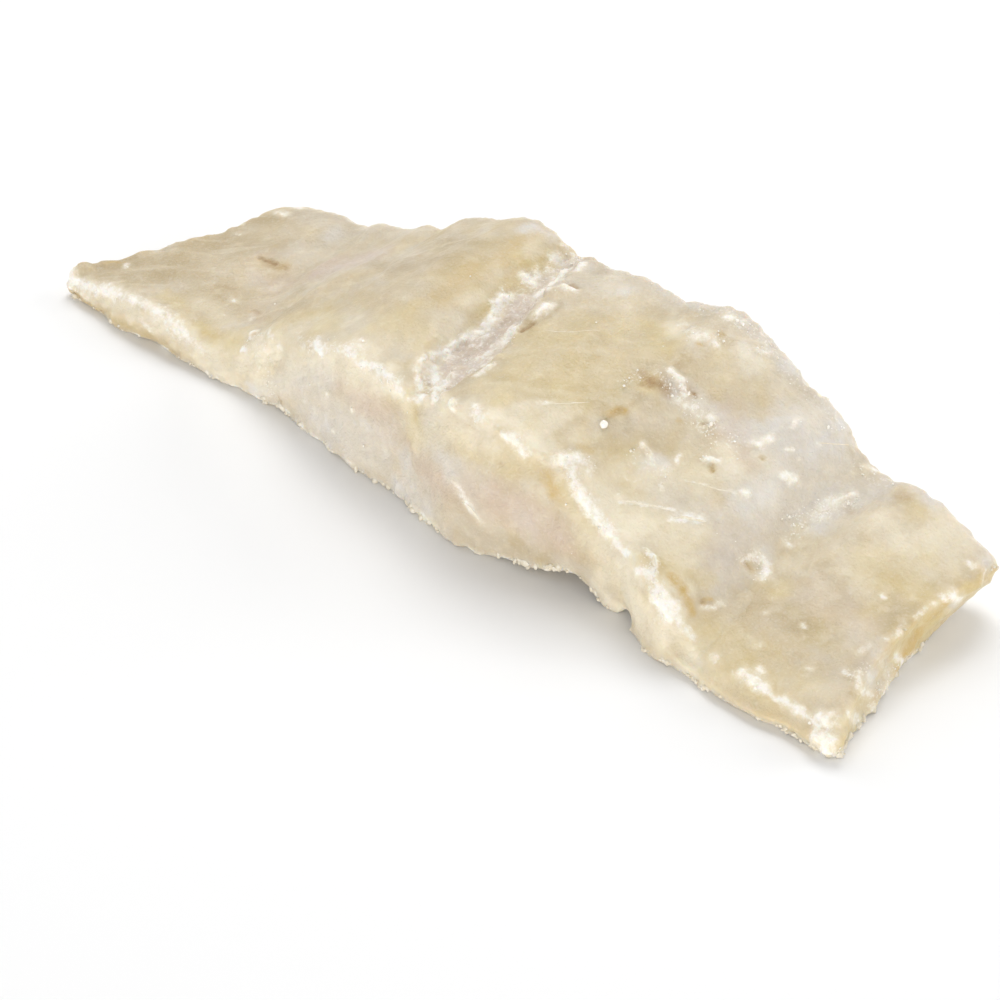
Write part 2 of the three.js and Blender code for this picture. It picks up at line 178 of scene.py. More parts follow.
# Tones that lie in soft patches on the flesh, among them painted sheen on the crests and painted shade along
# the near foot. A stroke gives how strong it is, how far it reaches to either side, and the points that it
# passes through.
TONES = {
    # Along the near foot by the arch, from x 13 to 39, tan strokes also paint the shade under the lower edge.
    "tan": [
        (0.93, 9, (-93, -15, 6.2), (-84, -11, 7.2)), (0.79, 7, (-86, -5, 7.6), (-82, 4, 7.8)),
        (0.57, 9, (-78, -10, 7.7), (-66, -12, 8)), (0.77, 8, (-78, 3, 8.3), (-70, 6, 9.7)),
        (0.61, 6, (-79, 14, 9.6), (-72, 17, 11.7)), (0.48, 7, (-48, -11, 14), (-38, -14, 17.5)),
        (0.25, 6, (-40, -4, 19.7), (-28, -6, 25)), (0.37, 7, (-30, 4, 26), (-24, 10, 29.7)),
        (0.39, 6, (-36, 14, 23.7), (-28, 12, 27.8)), (0.44, 4, (28, -2, 29.8), (33, -10, 26.1)),
        (0.23, 7, (66, -15, 8.1), (80, -14, 8.3), (90, -16, 7.4)), (0.38, 6, (74, -1, 12.5), (88, 0, 10.7)),
        (0.93, 3, (-96, -23.9, 2), (-86, -24.2, 1.6), (-66, -23.9, 2)),
        (0.35, 5, (24, -25.6, 5), (38, -22.9, 7)),
        (0.63, 5, (-96.2, -21.4, 5.4), (-91.5, -20.1, 6.3), (-85.8, -18.3, 6.9)),
        (0.87, 3, (-85.1, 6.8, 7.2), (-81.4, 12.6, 8.6), (-75.3, 17.5, 11), (-62.3, 18.8, 12.8)),
        (0.79, 4, (-42.3, 5.2, 19.8), (-27.8, 1.7, 26.7), (-16.8, 6.4, 31.7)),
        (0.59, 4, (13.6, -28.4, 3.1), (22.5, -26.1, 4.3), (31.3, -23.8, 4.9), (38.9, -22.9, 7.2)),
        (0.92, 3, (37.5, -22.6, 11.6), (40.3, -21.6, 13.6)), (0.93, 3, (58, -25.9, 6.1), (62, -26.5, 4.4)),
        (0.74, 3, (45.8, 22.1, 28.8), (50.1, 22.5, 27.2), (56.5, 23.3, 24.8)),
        (0.93, 3, (92.2, -3.1, 10.7), (90.8, 1.9, 10.7), (91.8, 8.6, 11.4)),
        (0.93, 3, (-29.8, 11.5, 27), (-16.5, 11.4, 31.9)),
        (0.93, 2.5, (-9, 13.6, 29.2), (-7.5, 14.2, 28.6)), (0.93, 3, (3.4, -0.8, 29.9), (5.4, 3.8, 31.4)),
        (0.93, 3, (-4.6, -1.4, 25.3), (1.1, -6.1, 25.5), (7.1, -15.3, 28.6)),
        (0.85, 3.5, (6.1, -18.8, 27.7), (13.1, -16.4, 29.3), (21.9, -10.4, 29.1), (28.5, -4.1, 29.2)),
        (0.93, 3, (17.9, 0.2, 32), (18.7, 3.2, 32)), (0.93, 3, (30.8, -6.6, 28.2), (34, -6.7, 26.8)),
        (0.37, 3, (15.4, 21.3, 32.5), (21.8, 22.3, 31.7), (32, 20.2, 33.8)),
        (0.93, 2.5, (60.4, 21.7, 21.1), (62.7, 22.7, 18.3)),
        (0.83, 4, (51.6, -17.9, 15.5), (60.4, -18.6, 10.9)),
        (0.93, 3, (60.7, -10.9, 13.3), (62.2, -7.3, 13.2)),
        (0.93, 4, (70.2, -20.5, 6.7), (77.5, -22.5, 6.6)), (0.79, 4, (73, -11, 9.3), (83.8, -10.6, 8.6)),
        (0.93, 3, (93.1, -15.2, 8.1), (95.1, -16.4, 7.8)), (0.9, 3, (63.4, 11.9, 15.3), (65, 14, 15.4)),
        (0.81, 3, (74.3, 17.9, 18.2), (77.2, 17.9, 18.2)),
        (0.93, 3, (16.8, -27.8, 5.1), (22.5, -26.1, 4.3)), (0.21, 3.5, (38, -6, 24)),
        (0.93, 3.5, (32, -17, 24)), (0.93, 3, (95, 18, 10)), (0.93, 3, (5, 5, 32)),
        (0.93, 4, (-90, -15, 6)), (0.7, 4, (62, -26, 5)), (0.93, 4, (-16, 7, 32)), (0.93, 4, (90, 1, 11)),
        (0.93, 3, (20, 0, 32)), (0.93, 3, (8, -12, 29)), (0.78, 4, (-18, 2, 31)), (0.93, 3, (92, -9, 10)),
        (0.75, 4, (19, 17, 32)), (0.93, 3, (6, -2, 30)), (0.93, 4, (4, 20, 32)), (0.93, 3, (93, -12, 9)),
        (0.93, 4, (16, -27, 10)), (0.53, 3, (30, -6, 29)), (0.75, 4, (-15, 14, 32)),
        (0.88, 3.5, (32, 9, 32)), (0.93, 4, (18, -25, 22)), (0.78, 4, (-60, 18, 13)),
        (0.9, 4, (20, -27, 3)), (0.93, 4, (56, -16, 14)), (0.79, 4, (50, -3, 21)), (0.93, 3, (42, 23, 31)),
        (0.89, 4, (27, -7, 29)), (0.65, 4, (68, 4, 13)), (0.77, 4, (-53, -3, 13)), (0.93, 4, (-73, -20, 8)),
        (0.93, 4, (-11, -25, 7)), (0.93, 3, (32, -2, 29)), (0.1, 4, (82, 15, 16)), (0.93, 4, (63, 4, 14)),
        (0.35, 3, (33, -23, 3)), (0.21, 3, (38, -22, 4)), (0.36, 2.5, (-7, 14, 28)),
        (0.69, 3, (-5, 23, 30)), (0.21, 3, (13, -28, 1)), (0.93, 3, (18, -1, 32)), (0.66, 3, (-1, 2, 27)),
        (0.74, 3, (72, 20, 18)),
    ],
    "rose": [
        (0.61, 6, (-70, 2, 9.2), (-60, -2, 9)), (0.26, 6, (-58, -9, 9.2), (-54, -12, 10.1)),
        (0.93, 8, (-54, 4, 13.8), (-46, 8, 17.8)), (0.17, 6, (-32, 6, 25.2), (-24, 2, 29.3)),
        (0.51, 4, (-3, -10, 23.8), (-2, 0, 26.1), (-3, 8, 28.5)), (0.68, 5, (44, 8, 26.4), (52, 4, 22.6)),
        (0.16, 5, (91, -8, 9.8), (92.5, -14, 8.2), (94, -18, 7.9)),
        (0.34, 6, (76, -4, 11.4), (86, -4, 10.7)), (0.52, 6, (-14, -23.9, 15), (-3, -24.3, 13)),
        (0.83, 7, (4, -26, 11), (24, -25, 13), (34, -23.2, 11)),
        (0.57, 4, (-24, -22.9, 17), (-10, -23.4, 16)), (0.4, 5, (61, -2, 15.4), (60, -14, 12.6)),
        (0.11, 4, (-1, 12, 30.1), (5, 4, 31.4)),
    ],
    "haze": [
        (0.15, 7, (-70, 14, 11.5), (-60, 17, 12.6)), (0.29, 6, (-66, 8, 10.3), (-60, 9, 10.9)),
        (0.14, 7, (-56, 14, 13.8), (-46, 10, 17.9)), (0.18, 8, (-50, 0, 14.7), (-42, 6, 20)),
        (0.3, 5, (1, 20, 31.6), (14, 21, 32.6), (26, 23, 32.9)), (0.34, 5, (0, 13, 31.3), (8, 16, 32.5)),
        (0.27, 7, (34, 22, 33.6), (60, 22, 21.7)), (0.64, 4, (36, 4, 29.2), (44, 7, 26.1)),
        (0.81, 7, (50, 9, 24), (57, 14, 22.5)),
        (0.54, 6, (62, 19, 18.7), (62, 8, 15), (61, -4, 15), (61, -13, 12.3)),
        (0.68, 7, (66, 12, 14.5), (72, 20, 18)), (0.21, 5, (33, -8, 26.9), (37, -3, 25.9)),
        (0.45, 6, (46, -10, 18.6), (56, -8, 17.7)), (0.6, 9, (-30, -23.1, 6), (-10, -24.6, 6)),
        (0.42, 6, (-24, -23.6, 12), (-8, -24.3, 11)), (0.34, 6, (4, -26.6, 5), (22, -26.3, 4)),
        (0.22, 3, (12, -26.7, 14), (19, -27.1, 9)), (0.36, 3, (34, -23.4, 5), (40, -22.8, 6)),
        (0.93, 6, (57.2, -1.2, 19.1), (58.1, 7, 19.5)),
        (0.39, 4, (93.7, -11.3, 8.7), (94.2, -9.2, 2.9), (95.9, -15.9, 1.8)),
        (0.39, 3, (64.4, -9.6, 10.2), (65.3, -6.5, 10.7)), (0.9, 3, (39.9, -7.8, 21.8), (42.4, -5.7, 21.6)),
        (0.77, 6, (52.9, 15.4, 25.4), (58.4, 19.9, 23.2)), (0.82, 5, (3.3, -24.6, 20), (9.9, -26.3, 15.5)),
        (0.64, 3.5, (93.2, -7.6, 9.6), (92.9, -5.1, 3.6), (94.3, -10.5, 3.7)),
        (0.76, 4, (-1.8, -24.8, 9.8), (0.2, -26.5, 1.7)), (0.3, 4, (11.3, -25.9, 18.2), (17.6, -26.1, 15)),
        (0.28, 4, (-75.3, 17.5, 11), (-53.5, 18.6, 15.9), (-41.6, 17.8, 21.1)),
        (0.93, 3, (-15.2, 20.1, 32.7), (-10.7, 20.7, 31.8)),
        (0.36, 3, (-14.5, -1.7, 29.6), (-12.8, -1.3, 29.3)),
        (0.55, 4, (-43.1, -22, 4), (-23.9, -22.8, 17.3)), (0.17, 3, (63.5, -19.4, 8.4), (64.7, -19.1, 7.5)),
        (0.53, 3, (38.8, 19.2, 31.6), (42.1, 17.4, 29.8)), (0.25, 4, (27, -24.7, 11), (29.1, -24.3, 6.9)),
        (0.6, 3, (93.2, 21.2, 13), (94.6, 21.2, 12)), (0.48, 3, (28.3, -2.5, 29.6), (30.4, -2.6, 29)),
        (0.93, 4, (5, -27, 3)), (0.5, 4, (45, 24, 29)), (0.93, 3, (12, 17, 33)), (0.93, 4, (59, 19, 22)),
        (0.9, 3, (93, 13, 8)), (0.87, 4, (67, 8, 13)), (0.31, 3, (42, -23, 4)), (0.57, 4, (79, 22, 18)),
        (0.93, 3.5, (-46, -22, 2)), (0.29, 3, (-41, -22, 2)), (0.76, 4, (-63, 15, 12)),
        (0.79, 4, (-4, -25, 3)), (0.17, 3.5, (27, -25, 3)), (0.32, 3, (1, 19, 32)), (0.17, 4, (52, 0, 22)),
        (0.79, 3, (64, -3, 12)), (0.36, 4, (63, -14, 10)), (0.11, 4, (-71, 17, 12)),
        (0.31, 5, (-27, -23, 3)), (0.53, 4, (-18, -25, 3)), (0.2, 4, (28, -10, 28)), (0.2, 4, (12, -28, 2)),
        (0.92, 3, (95, -11, 7)), (0.28, 3, (1, -10, 25)), (0.69, 3.5, (95, -11, 7)),
        (0.23, 3.5, (95, -16, 4)), (0.31, 3, (93, 14, 7)), (0.46, 4, (-5, -25, 2)),
        (0.22, 4, (-41, -22, 2)), (0.89, 5, (-25, -24, 5)), (0.24, 3, (33, -1, 29)),
        (0.31, 5, (-33, -23, 3)), (0.26, 3, (52, 0, 22)),
    ],
    "straw": [
        (0.29, 7, (-14, 15, 31.7), (-16, 4, 31.2), (-16, -6, 28.1)),
        (0.12, 6, (-19, 10, 31.7), (-12, -3, 28.7)), (0.74, 6, (-18, -12, 26.3), (-11, -12, 26.2)),
        (0.61, 9, (10, -3, 30.6), (27, -4, 29.6)), (0.36, 8, (14, 6, 32.2), (29, 8, 32.3)),
        (0.83, 6, (22, 13, 31.4), (28, 10, 32.3)), (0.62, 7, (12, -12, 29.8), (24, -11, 28.9)),
        (0.19, 5, (36, 15, 31.9), (46, 16, 27.7)), (0.35, 6, (36, -13, 23), (54, -16, 15.2)),
        (0.27, 4, (41, -2, 23.8), (50, -4, 20.4)), (0.7, 6, (80, 5, 14), (90, 8, 11.5)),
        (0.56, 3, (74, 20, 18.4), (80, 18, 17.7)), (0.41, 4, (66, -19, 6.9), (88, -20, 6.6)),
        (0.87, 3, (-64, -20, 7.1), (-52, -20, 8.1)), (0.88, 4, (-34, -15, 19.5), (-33, -17, 19.7)),
        (0.93, 4, (-3, -23.3, 21), (0, -24.6, 16)), (0.4, 5, (4, -25, 19), (22, -23.5, 21)),
        (0.1, 6, (36, -22.2, 14), (50, -23.5, 9)), (0.32, 5, (62, -26.1, 5), (96, -25.7, 4)),
        (0.8, 1.4, (-35.1, -15.8, 18.8), (-32.8, -17.3, 19.7)),
        (0.71, 1.6, (-54, -19.2, 8.5), (-53.1, -18.7, 8.9)),
        (0.65, 2, (-34.2, -21, 16.3), (-33.1, -21.2, 16.1)),
        (0.3, 1.6, (-44, -21.8, 7.1), (-43.1, -21.6, 7.2)),
        (0.33, 2.5, (-92, -23.8, 0.8), (-83.7, -25.1, 2.2), (-75.9, -24.7, 2.4), (-69.3, -24.1, 2)),
        (0.62, 3, (-76, -18, 7.5), (-72.1, -18.4, 7.7)), (0.62, 4, (-69.5, 1.8, 9.1), (-65.2, 2.6, 9.3)),
        (0.78, 4, (-43.3, -16, 15.9), (-37.9, -10.8, 18.2), (-29.7, -15.9, 20.9)),
        (0.93, 3.5, (-20.4, -15.3, 25), (-18, -13.6, 25.8)),
        (0.93, 3, (-57.6, -21.2, 6.2), (-54.5, -21.4, 5.5)),
        (0.93, 3.5, (-10.5, 13.6, 30.4), (-7.8, 17, 29.1)),
        (0.71, 4, (-7.6, 1.7, 26.7), (-8.5, 5.8, 28.4), (-6.8, 9.8, 28.1)),
        (0.36, 3.5, (10.8, -19.6, 28.3), (14, -17.3, 29.2), (19, -11.1, 29.4)),
        (0.74, 3, (-2.2, -19.6, 22.8), (0.8, -20.5, 23.4)),
        (0.35, 2.5, (31.3, -7.2, 27.9), (33, -6.9, 27.3)), (0.84, 3, (32, 0.8, 30.2), (31.6, 2.8, 30.7)),
        (0.61, 3, (25.7, -22.4, 22.2), (27.4, -21.2, 23.8)),
        (0.72, 3, (32.6, -21.1, 19.5), (39.7, -21.4, 14.3)),
        (0.68, 4, (54.8, -20.2, 14.2), (60.7, -15.2, 11.8)),
        (0.74, 5, (67.2, -22.2, 5.5), (76.2, -22.2, 6.7), (82.1, -24.6, 5.1)),
        (0.15, 4, (71.2, -9.6, 9.6), (75.2, -9.7, 9.3)), (0.46, 4, (82.2, -10.6, 8.6), (85.5, -10.8, 8.6)),
        (0.29, 3, (92.2, -3.1, 10.7), (90.8, 1.9, 10.7), (91.3, 9.2, 11.4)), (0.44, 3, (-11, 20, 32)),
        (0.48, 4, (28, -22, 21)), (0.7, 3.5, (38, -9, 23)), (0.55, 3, (56, -23, 13)),
        (0.5, 3, (28, -18, 25)), (0.93, 4, (70, -7, 10)), (0.61, 3, (52, -22, 15)),
        (0.93, 4, (15, -19, 29)), (0.46, 4, (82, 9, 15)), (0.38, 3, (-8, -19, 25)), (0.82, 3, (-11, 3, 29)),
        (0.6, 4, (86, -1, 11)), (0.58, 3, (-7, 22, 30)), (0.93, 4, (86, 14, 15)), (0.24, 4, (43, 3, 25)),
        (0.93, 4, (23, -19, 27)), (0.46, 3, (84, -27, 2)), (0.25, 3, (1, -24, 22)),
        (0.53, 3, (10, -18, 29)), (0.29, 3, (-10, 20, 31)), (0.51, 3, (55, -25, 9)), (0.27, 4, (82, 9, 15)),
    ],
    "cream": [
        (0.6, 2.4, (-93, -23.7, 3.3), (-83.1, -23.3, 5.4), (-74.2, -23.3, 5.8), (-66.1, -22.8, 5.2),
         (-57.6, -22.3, 4.4)), (0.81, 5, (-60, -23.1, 4), (-48, -21.3, 7), (-42, -20.1, 12)),
        (0.38, 5, (-50, -17, 10.7), (-38, -19, 16.3)), (0.35, 6, (-36, -15, 18.4), (-22, -17, 24.2)),
        (0.56, 4, (-36, -20.7, 15), (-24, -22.4, 19), (-12, -22.3, 22), (-4, -23.3, 21)),
        (0.35, 4, (-44, -22.1, 3), (-36, -22.5, 8)), (0.29, 5, (-24, -14, 24), (-10, -14, 25.7)),
        (0.54, 5, (5, -24.1, 23), (18, -24.5, 23)), (0.3, 4, (8, -18, 28.4), (22, -19, 27.2)),
        (0.67, 5, (33, -18, 22.7), (44, -18, 16.6), (56, -16, 14.3)),
        (0.57, 6, (40, -21.5, 14), (52, -24.2, 9), (60, -26.1, 6)),
        (0.44, 6, (52, -24.2, 5), (70, -24.2, 5)), (0.18, 3, (66, -15.5, 8), (76, -24.3, 6)),
        (0.26, 6, (8, 17, 32.5), (16, 15, 32.2)), (0.6, 4, (24, 16, 31.9), (28, 14, 32.3)),
        (0.5, 5, (78, 12, 17.1), (86, 16, 14.8)), (0.49, 5, (72, 10, 15.7), (76, 13, 17.8)),
        (0.49, 4, (84, 18, 16.1), (90, 16, 13.1)), (0.36, 5, (44, -12, 18.6), (56, -12, 15.7)),
        (0.92, 2.5, (-18.9, -22.4, 21.1), (-11, -22.5, 21.7), (-5.4, -23, 22.1)),
        (0.63, 2.6, (-94.7, -23.9, 2.8), (-88, -23.3, 4.1), (-79.5, -23.9, 5), (-71.6, -23.6, 4.9)),
        (0.36, 3, (-71.6, -23.6, 4.9), (-63.9, -23.4, 4.3), (-56.1, -23.3, 3.3), (-49.8, -22.5, 1.4)),
        (0.51, 4, (38.2, -17.9, 19.2), (43.3, -16.5, 17.4), (49.9, -14.8, 16.5), (53.7, -11.3, 16.7)),
        (0.75, 3, (11.7, -23.7, 27), (20.2, -20.8, 27.2), (27.6, -19.4, 24.7)),
        (0.91, 3, (-5.8, -17.6, 24), (-7.1, -11.2, 24.1)),
        (0.46, 3, (34.4, -21.5, 17), (35.9, -21.5, 16.2)),
        (0.62, 4, (83.2, 21.5, 17.3), (88.9, 20.1, 14.6)),
        (0.63, 4, (-23.4, -21.9, 20.9), (-15.5, -19.4, 24.1)),
        (0.23, 4, (-61.5, -16.1, 7.8), (-50.6, -19.7, 9)), (0.41, 4, (44.9, -1.7, 22.7), (52.7, 0, 21.5)),
        (0.4, 5, (65.2, 4.6, 12.6), (77, 3.6, 14.1), (82.8, 9.9, 14.8), (84.9, 18.1, 15.7)),
        (0.37, 4, (89.6, -20.7, 6.7), (92.4, -18, 7.6)),
        (0.67, 3, (57.7, -20.2, 12.5), (60.2, -19.4, 10.8)),
        (0.25, 4, (38.7, 11.7, 30.1), (40.6, 17.2, 30.4)),
        (0.67, 3.5, (-9.5, -8.8, 26.1), (-9.2, -4.4, 26.4)),
        (0.7, 3, (-10.4, -0.6, 28.3), (-10.2, 1.8, 28.6)),
        (0.79, 3.5, (25.2, -20.1, 25.5), (25, -16.7, 26.8), (25.6, -13, 28)),
        (0.37, 4, (-69.5, -14.5, 8), (-64.5, -14.4, 7.9)),
        (0.57, 4, (-36.1, -21.7, 11.8), (-25, -21.7, 20.7), (-19.5, -21.3, 23.6)),
        (0.53, 4, (-18, -23.4, 17.9), (-12.3, -22.9, 19.1)),
        (0.57, 5, (40.1, -9.4, 21), (49.1, -3.8, 20.6)), (0.66, 4, (48.2, 2.8, 23.5), (52.6, 1.3, 21.8)),
        (0.18, 5, (57.5, -0.7, 19), (57.8, 5.2, 19.4)), (0.49, 4, (39.6, 18.3, 31.1), (42.4, 19.7, 30.1)),
        (0.93, 3, (49.1, -22, 14.3), (53.4, -23.7, 13.2)), (0.69, 3, (45, -22.9, 3.1), (47.7, -22.1, 1.9)),
        (0.48, 4, (82.3, 0.6, 12.1), (83.3, 1, 12)),
        (0.17, 4, (67.7, -26.4, 1.7), (78.6, -26.1, 3.5), (88.5, -24.9, 3.9)),
        (0.93, 3, (1.4, -26.1, 0.2), (5.5, -26.7, 0.5)), (0.31, 4, (87, 10, 13)),
        (0.22, 2.5, (-96, -22, 5)), (0.57, 3, (98, -23, 6)), (0.49, 3, (-11, 17, 31)),
        (0.36, 3, (-7, 20, 30)), (0.39, 3, (32, -12, 26)), (0.44, 3, (30, -15, 26)),
        (0.93, 3, (-10, -21, 24)), (0.93, 3.5, (-48, -19, 11)), (0.93, 3, (67, -25, 3)),
        (0.64, 3, (38, -13, 21)), (0.54, 4, (69, -1, 11)), (0.61, 3, (90, -25, 4)),
        (0.88, 3, (-64, -22, 6)), (0.52, 4, (1, -25, 16)), (0.81, 3, (2, -23, 24)), (0.36, 4, (78, -3, 12)),
        (0.32, 3, (-10, 5, 29)), (0.75, 4, (-28, -13, 22)), (0.83, 3, (-17, -21, 23)),
        (0.65, 3, (28, -21, 23)), (0.38, 4, (21, -17, 28)), (0.49, 3, (38, 1, 27)),
        (0.81, 4, (47, -21, 16)), (0.93, 3, (40, -17, 18)), (0.93, 3, (49, -23, 12)),
        (0.53, 3, (-3, -22, 23)), (0.47, 3, (43, -23, 4)), (0.3, 4, (55, 18, 25)), (0.25, 4, (52, -7, 19)),
        (0.93, 3, (11, -23, 27)), (0.24, 3, (56, -26, 0)), (0.14, 3, (-76, -24, 1)),
        (0.38, 3, (-90, -24, 1)), (0.83, 3, (8, -28, 1)), (0.84, 3, (81, 11, 16)), (0.4, 3, (-61, -2, 9)),
        (0.36, 3, (68, -26, 1)), (0.39, 4, (-3, -24, 17)), (0.68, 3, (17, -24, 27)),
        (0.62, 3, (44, -23, 7)), (0.44, 4, (55, 7, 22)), (0.41, 3, (88, 11, 13)), (0.79, 3, (6, -24, 26)),
    ],
    "amber": [
        (0.6, 1.8, (29.9, -21.6, 21.2), (31.3, -22, 18.2)),
        (0.19, 2.4, (27.2, -21.9, 21.9), (31, -21.9, 18.7), (34.1, -21.6, 16.8)),
        (0.91, 1.4, (57, -19.8, 13), (59, -19.4, 11.7), (61.2, -20, 10), (62.8, -20.7, 8.7)),
        (0.21, 1, (51.6, -21.8, 14.9), (52.9, -21.1, 14.8)),
        (0.37, 1.2, (31.3, -15.2, 24.8), (32.9, -14.4, 24.2)),
        (0.64, 0.9, (62.9, -18.3, 9.1), (62.9, -17.2, 9.4), (63.3, -16.4, 9.3)),
        (0.77, 0.9, (48.8, -0.7, 21.8), (49.4, -1.1, 21.6)),
        (0.61, 0.8, (53.9, 6.9, 22.3), (54.2, 6.9, 22.2)), (0.49, 0.8, (39.3, 0.9, 26), (39.8, 1.2, 25.9)),
        (0.53, 1.5, (63.4, -7.3, 12.1), (64.7, -6.9, 11.1)),
        (0.8, 2.2, (91.8, 0.1, 3.6), (92.2, 3.5, 5.2), (92.7, 6.6, 7.6), (93.2, 9.8, 9.5)),
        (0.23, 2, (93.7, 14.4, 9.7), (94.4, 17.6, 11.8), (94.7, 20.5, 12.1)),
        (0.52, 2, (-97.6, -23.6, 1.1), (-93.6, -23.8, 0.5), (-88.4, -23.8, 0.5)),
        (0.58, 0.8, (-94.6, -17.2, 6.4), (-94.1, -15.9, 6.2), (-92.5, -14.6, 6.3)),
        (0.28, 1.5, (-84.2, -24.7, 1.3), (-74.1, -23.8, 1.5), (-67.2, -23.5, 1.4)),
        (0.43, 2.5, (-12.6, 10, 31), (-14.2, 16.9, 31.9), (-12.8, 19.7, 32.2)),
        (0.42, 4, (-14.3, -3.9, 28.5), (-14.7, 4.3, 31)),
        (0.21, 3, (80.2, -26.7, 3.1), (89, -25.4, 3.2), (94.2, -26.4, 2.5)),
        (0.11, 1.5, (97.5, -20.4, 1.9), (98, -22, 0.3)),
        (0.15, 2, (-62.5, -20.8, 6.9), (-58.4, -20.7, 6.7)), (0.39, 2.5, (94, -11, 3)),
        (0.9, 1.3, (31.3, -7.4, 27.8), (32, -6.2, 28.1), (32.9, -5.6, 28)),
        (0.8, 0.8, (33, 13.5, 32.9), (33.5, 13.9, 32.9)), (0.75, 0.8, (33.9, 18.3, 33), (34.2, 18.7, 33)),
        (0.35, 1.3, (27.4, -22.2, 22.4), (30.5, -21.9, 19.5), (33, -21.8, 17.3)),
    ],
    "stain": [
        (0.93, 0.7, (-71.1, 2.4, 9.2), (-69.1, 2.8, 9.3), (-66.9, 3.1, 9.2)),
        (0.6, 1.8, (-68.7, 2.4, 9.2), (-64.1, 2.9, 9.4)), (0.21, 0.9, (-70.9, -8.6, 8), (-67.5, -7.7, 8.2)),
        (0.54, 0.8, (-58.3, -10.6, 9), (-56.1, -11.1, 9.6)), (0.6, 1.6, (29.8, 2.4, 30.4), (32, 1.8, 30.5)),
        (0.8, 2, (32, 1.8, 30.5), (33.5, 2.3, 30.1), (34.9, 2.9, 29.5)),
        (0.53, 1, (31, 0.3, 29.9), (32.6, 0.6, 30.1)), (0.35, 1.1, (31.7, -7.6, 27.6), (32.1, -6, 28.1)),
        (0.95, 0.7, (38.7, 6.2, 28.4), (39, 6.1, 28.1)), (0.44, 0.5, (42.9, 3.8, 25.5), (43.1, 4.2, 25.6)),
        (0.93, 1, (2.6, 12.9, 31.9), (4.4, 12.2, 32.1)),
        (0.93, 1, (4.5, -2.2, 29.8), (5.1, -1, 30.3), (5.2, 0.2, 30.7)),
        (0.13, 1.6, (6.1, -19.1, 27.7), (6, -17, 28.1)), (0.46, 0.5, (49, -0.8, 21.7), (49.5, -1.2, 21.6)),
        (0.31, 0.5, (53.9, 6.9, 22.3), (54.2, 6.9, 22.2)),
        (0.52, 0.7, (62.7, -18.1, 9.3), (62.7, -17.5, 9.5)),
        (0.41, 0.6, (63.3, -7.4, 12.1), (64.1, -7.3, 11.4)),
        (0.39, 0.4, (31.5, -18.8, 23.3), (31.9, -18.7, 23)),
        (0.36, 0.6, (20.6, -24.1, 20.3), (21, -24.1, 20.1)),
        (0.55, 0.6, (-39.1, -22.1, 3.9), (-38.8, -22, 2.6)),
        (0.39, 0.6, (-7.8, -24.8, 0.6), (-7.3, -24.7, 0.6)),
        (0.36, 1.2, (68.4, 13.4, 15.3), (69.8, 12.8, 15.5)), (0.51, 2, (75, 19, 18.3), (76, 19.5, 18.3)),
        (0.24, 1.6, (32.9, 4, 30.9), (33.5, 7.2, 31.5)), (0.5, 2, (36.7, 5.5, 29.3), (38.2, 5.5, 28.5)),
    ],
    # Frost strokes: real white frost, and on the crests also painted sheen highlights.
    "frost_and_sheen": [
        (0.86, 1.3, (3.9, 4.2, 31.3)), (0.6, 1.4, (1.5, -0.6, 27.5)), (0.5, 1.2, (3.2, -9, 26)),
        (0.62, 1.2, (-97.8, -23.8, 2.8), (-98, -22.5, 4.2)),
        (0.8, 0.9, (-96.1, -22.9, 3.8), (-94.4, -23, 3.7)),
        (0.79, 1.3, (-93.7, -23.1, 3.7), (-87.8, -22.3, 6), (-85, -22.1, 6.7)),
        (0.84, 1.3, (-85.1, -22.8, 6), (-82.9, -22.4, 6.7), (-80.1, -22.5, 6.8)),
        (0.77, 1.2, (-80.1, -22.5, 6.8), (-76.6, -22.4, 7.3), (-73.1, -22.2, 7.2)),
        (0.64, 2, (-73.1, -22.2, 7.2), (-69.7, -22.1, 6.9), (-66.2, -22.2, 6.3)),
        (0.44, 0.6, (-76.1, -24, 5.2), (-74, -24.4, 4.2)),
        (0.75, 0.5, (-73.2, -24.4, 4), (-72.9, -24.4, 3.7)),
        (0.86, 0.5, (-91.3, -14.6, 6.4), (-90.2, -15.3, 6.5)),
        (0.5, 0.9, (-79.3, -24.2, 0.3), (-77.5, -24, 0.4)),
        (0.6, 0.8, (-71.9, -22.8, 0.1), (-69.7, -23.4, 0.5)),
        (0.54, 0.9, (-57.9, -23.4, 0.4), (-55.3, -23.1, 0.4)),
        (0.68, 1, (-80, 15.8, 9.6), (-77.5, 15.6, 10.4)), (0.7, 0.8, (-78, 18.8, 10.1), (-77, 19.2, 10.4)),
        (0.69, 0.6, (-84.8, 9.7, 7.2), (-84.2, 10, 7.6)), (0.37, 0.8, (-82.3, 6.7, 7.8), (-81.5, 6.8, 7.9)),
        (0.59, 0.4, (-56.4, -13.1, 9), (-56.2, -13.1, 9.1)),
        (0.53, 0.4, (-62.5, -15.2, 7.9), (-62.3, -15, 7.9)),
        (0.86, 0.8, (-51.4, -17.3, 10), (-50.7, -16.7, 10.5)),
        (0.65, 0.6, (-50.8, -18.4, 9.9), (-50.1, -18.5, 10.1)),
        (0.45, 1, (-46.3, -18, 13.4), (-43.6, -19.2, 14.1)),
        (0.86, 0.9, (-50.8, -20.3, 8.1), (-49.7, -20.5, 8.3)),
        (0.37, 0.8, (-45.2, -20.1, 11.8), (-44.7, -20.4, 11.1)),
        (0.38, 0.8, (-41.2, -20, 13.4), (-40.2, -20.1, 13.3)),
        (0.86, 1.2, (-30.2, -20, 19.8), (-28.4, -21.3, 19.5), (-27.4, -21.7, 19.3)),
        (0.36, 2, (-31.2, -20.7, 18.8), (-26.6, -21.2, 20.5)),
        (0.25, 1.5, (-37.6, -17.6, 17.1), (-33.4, -20.7, 17.7)),
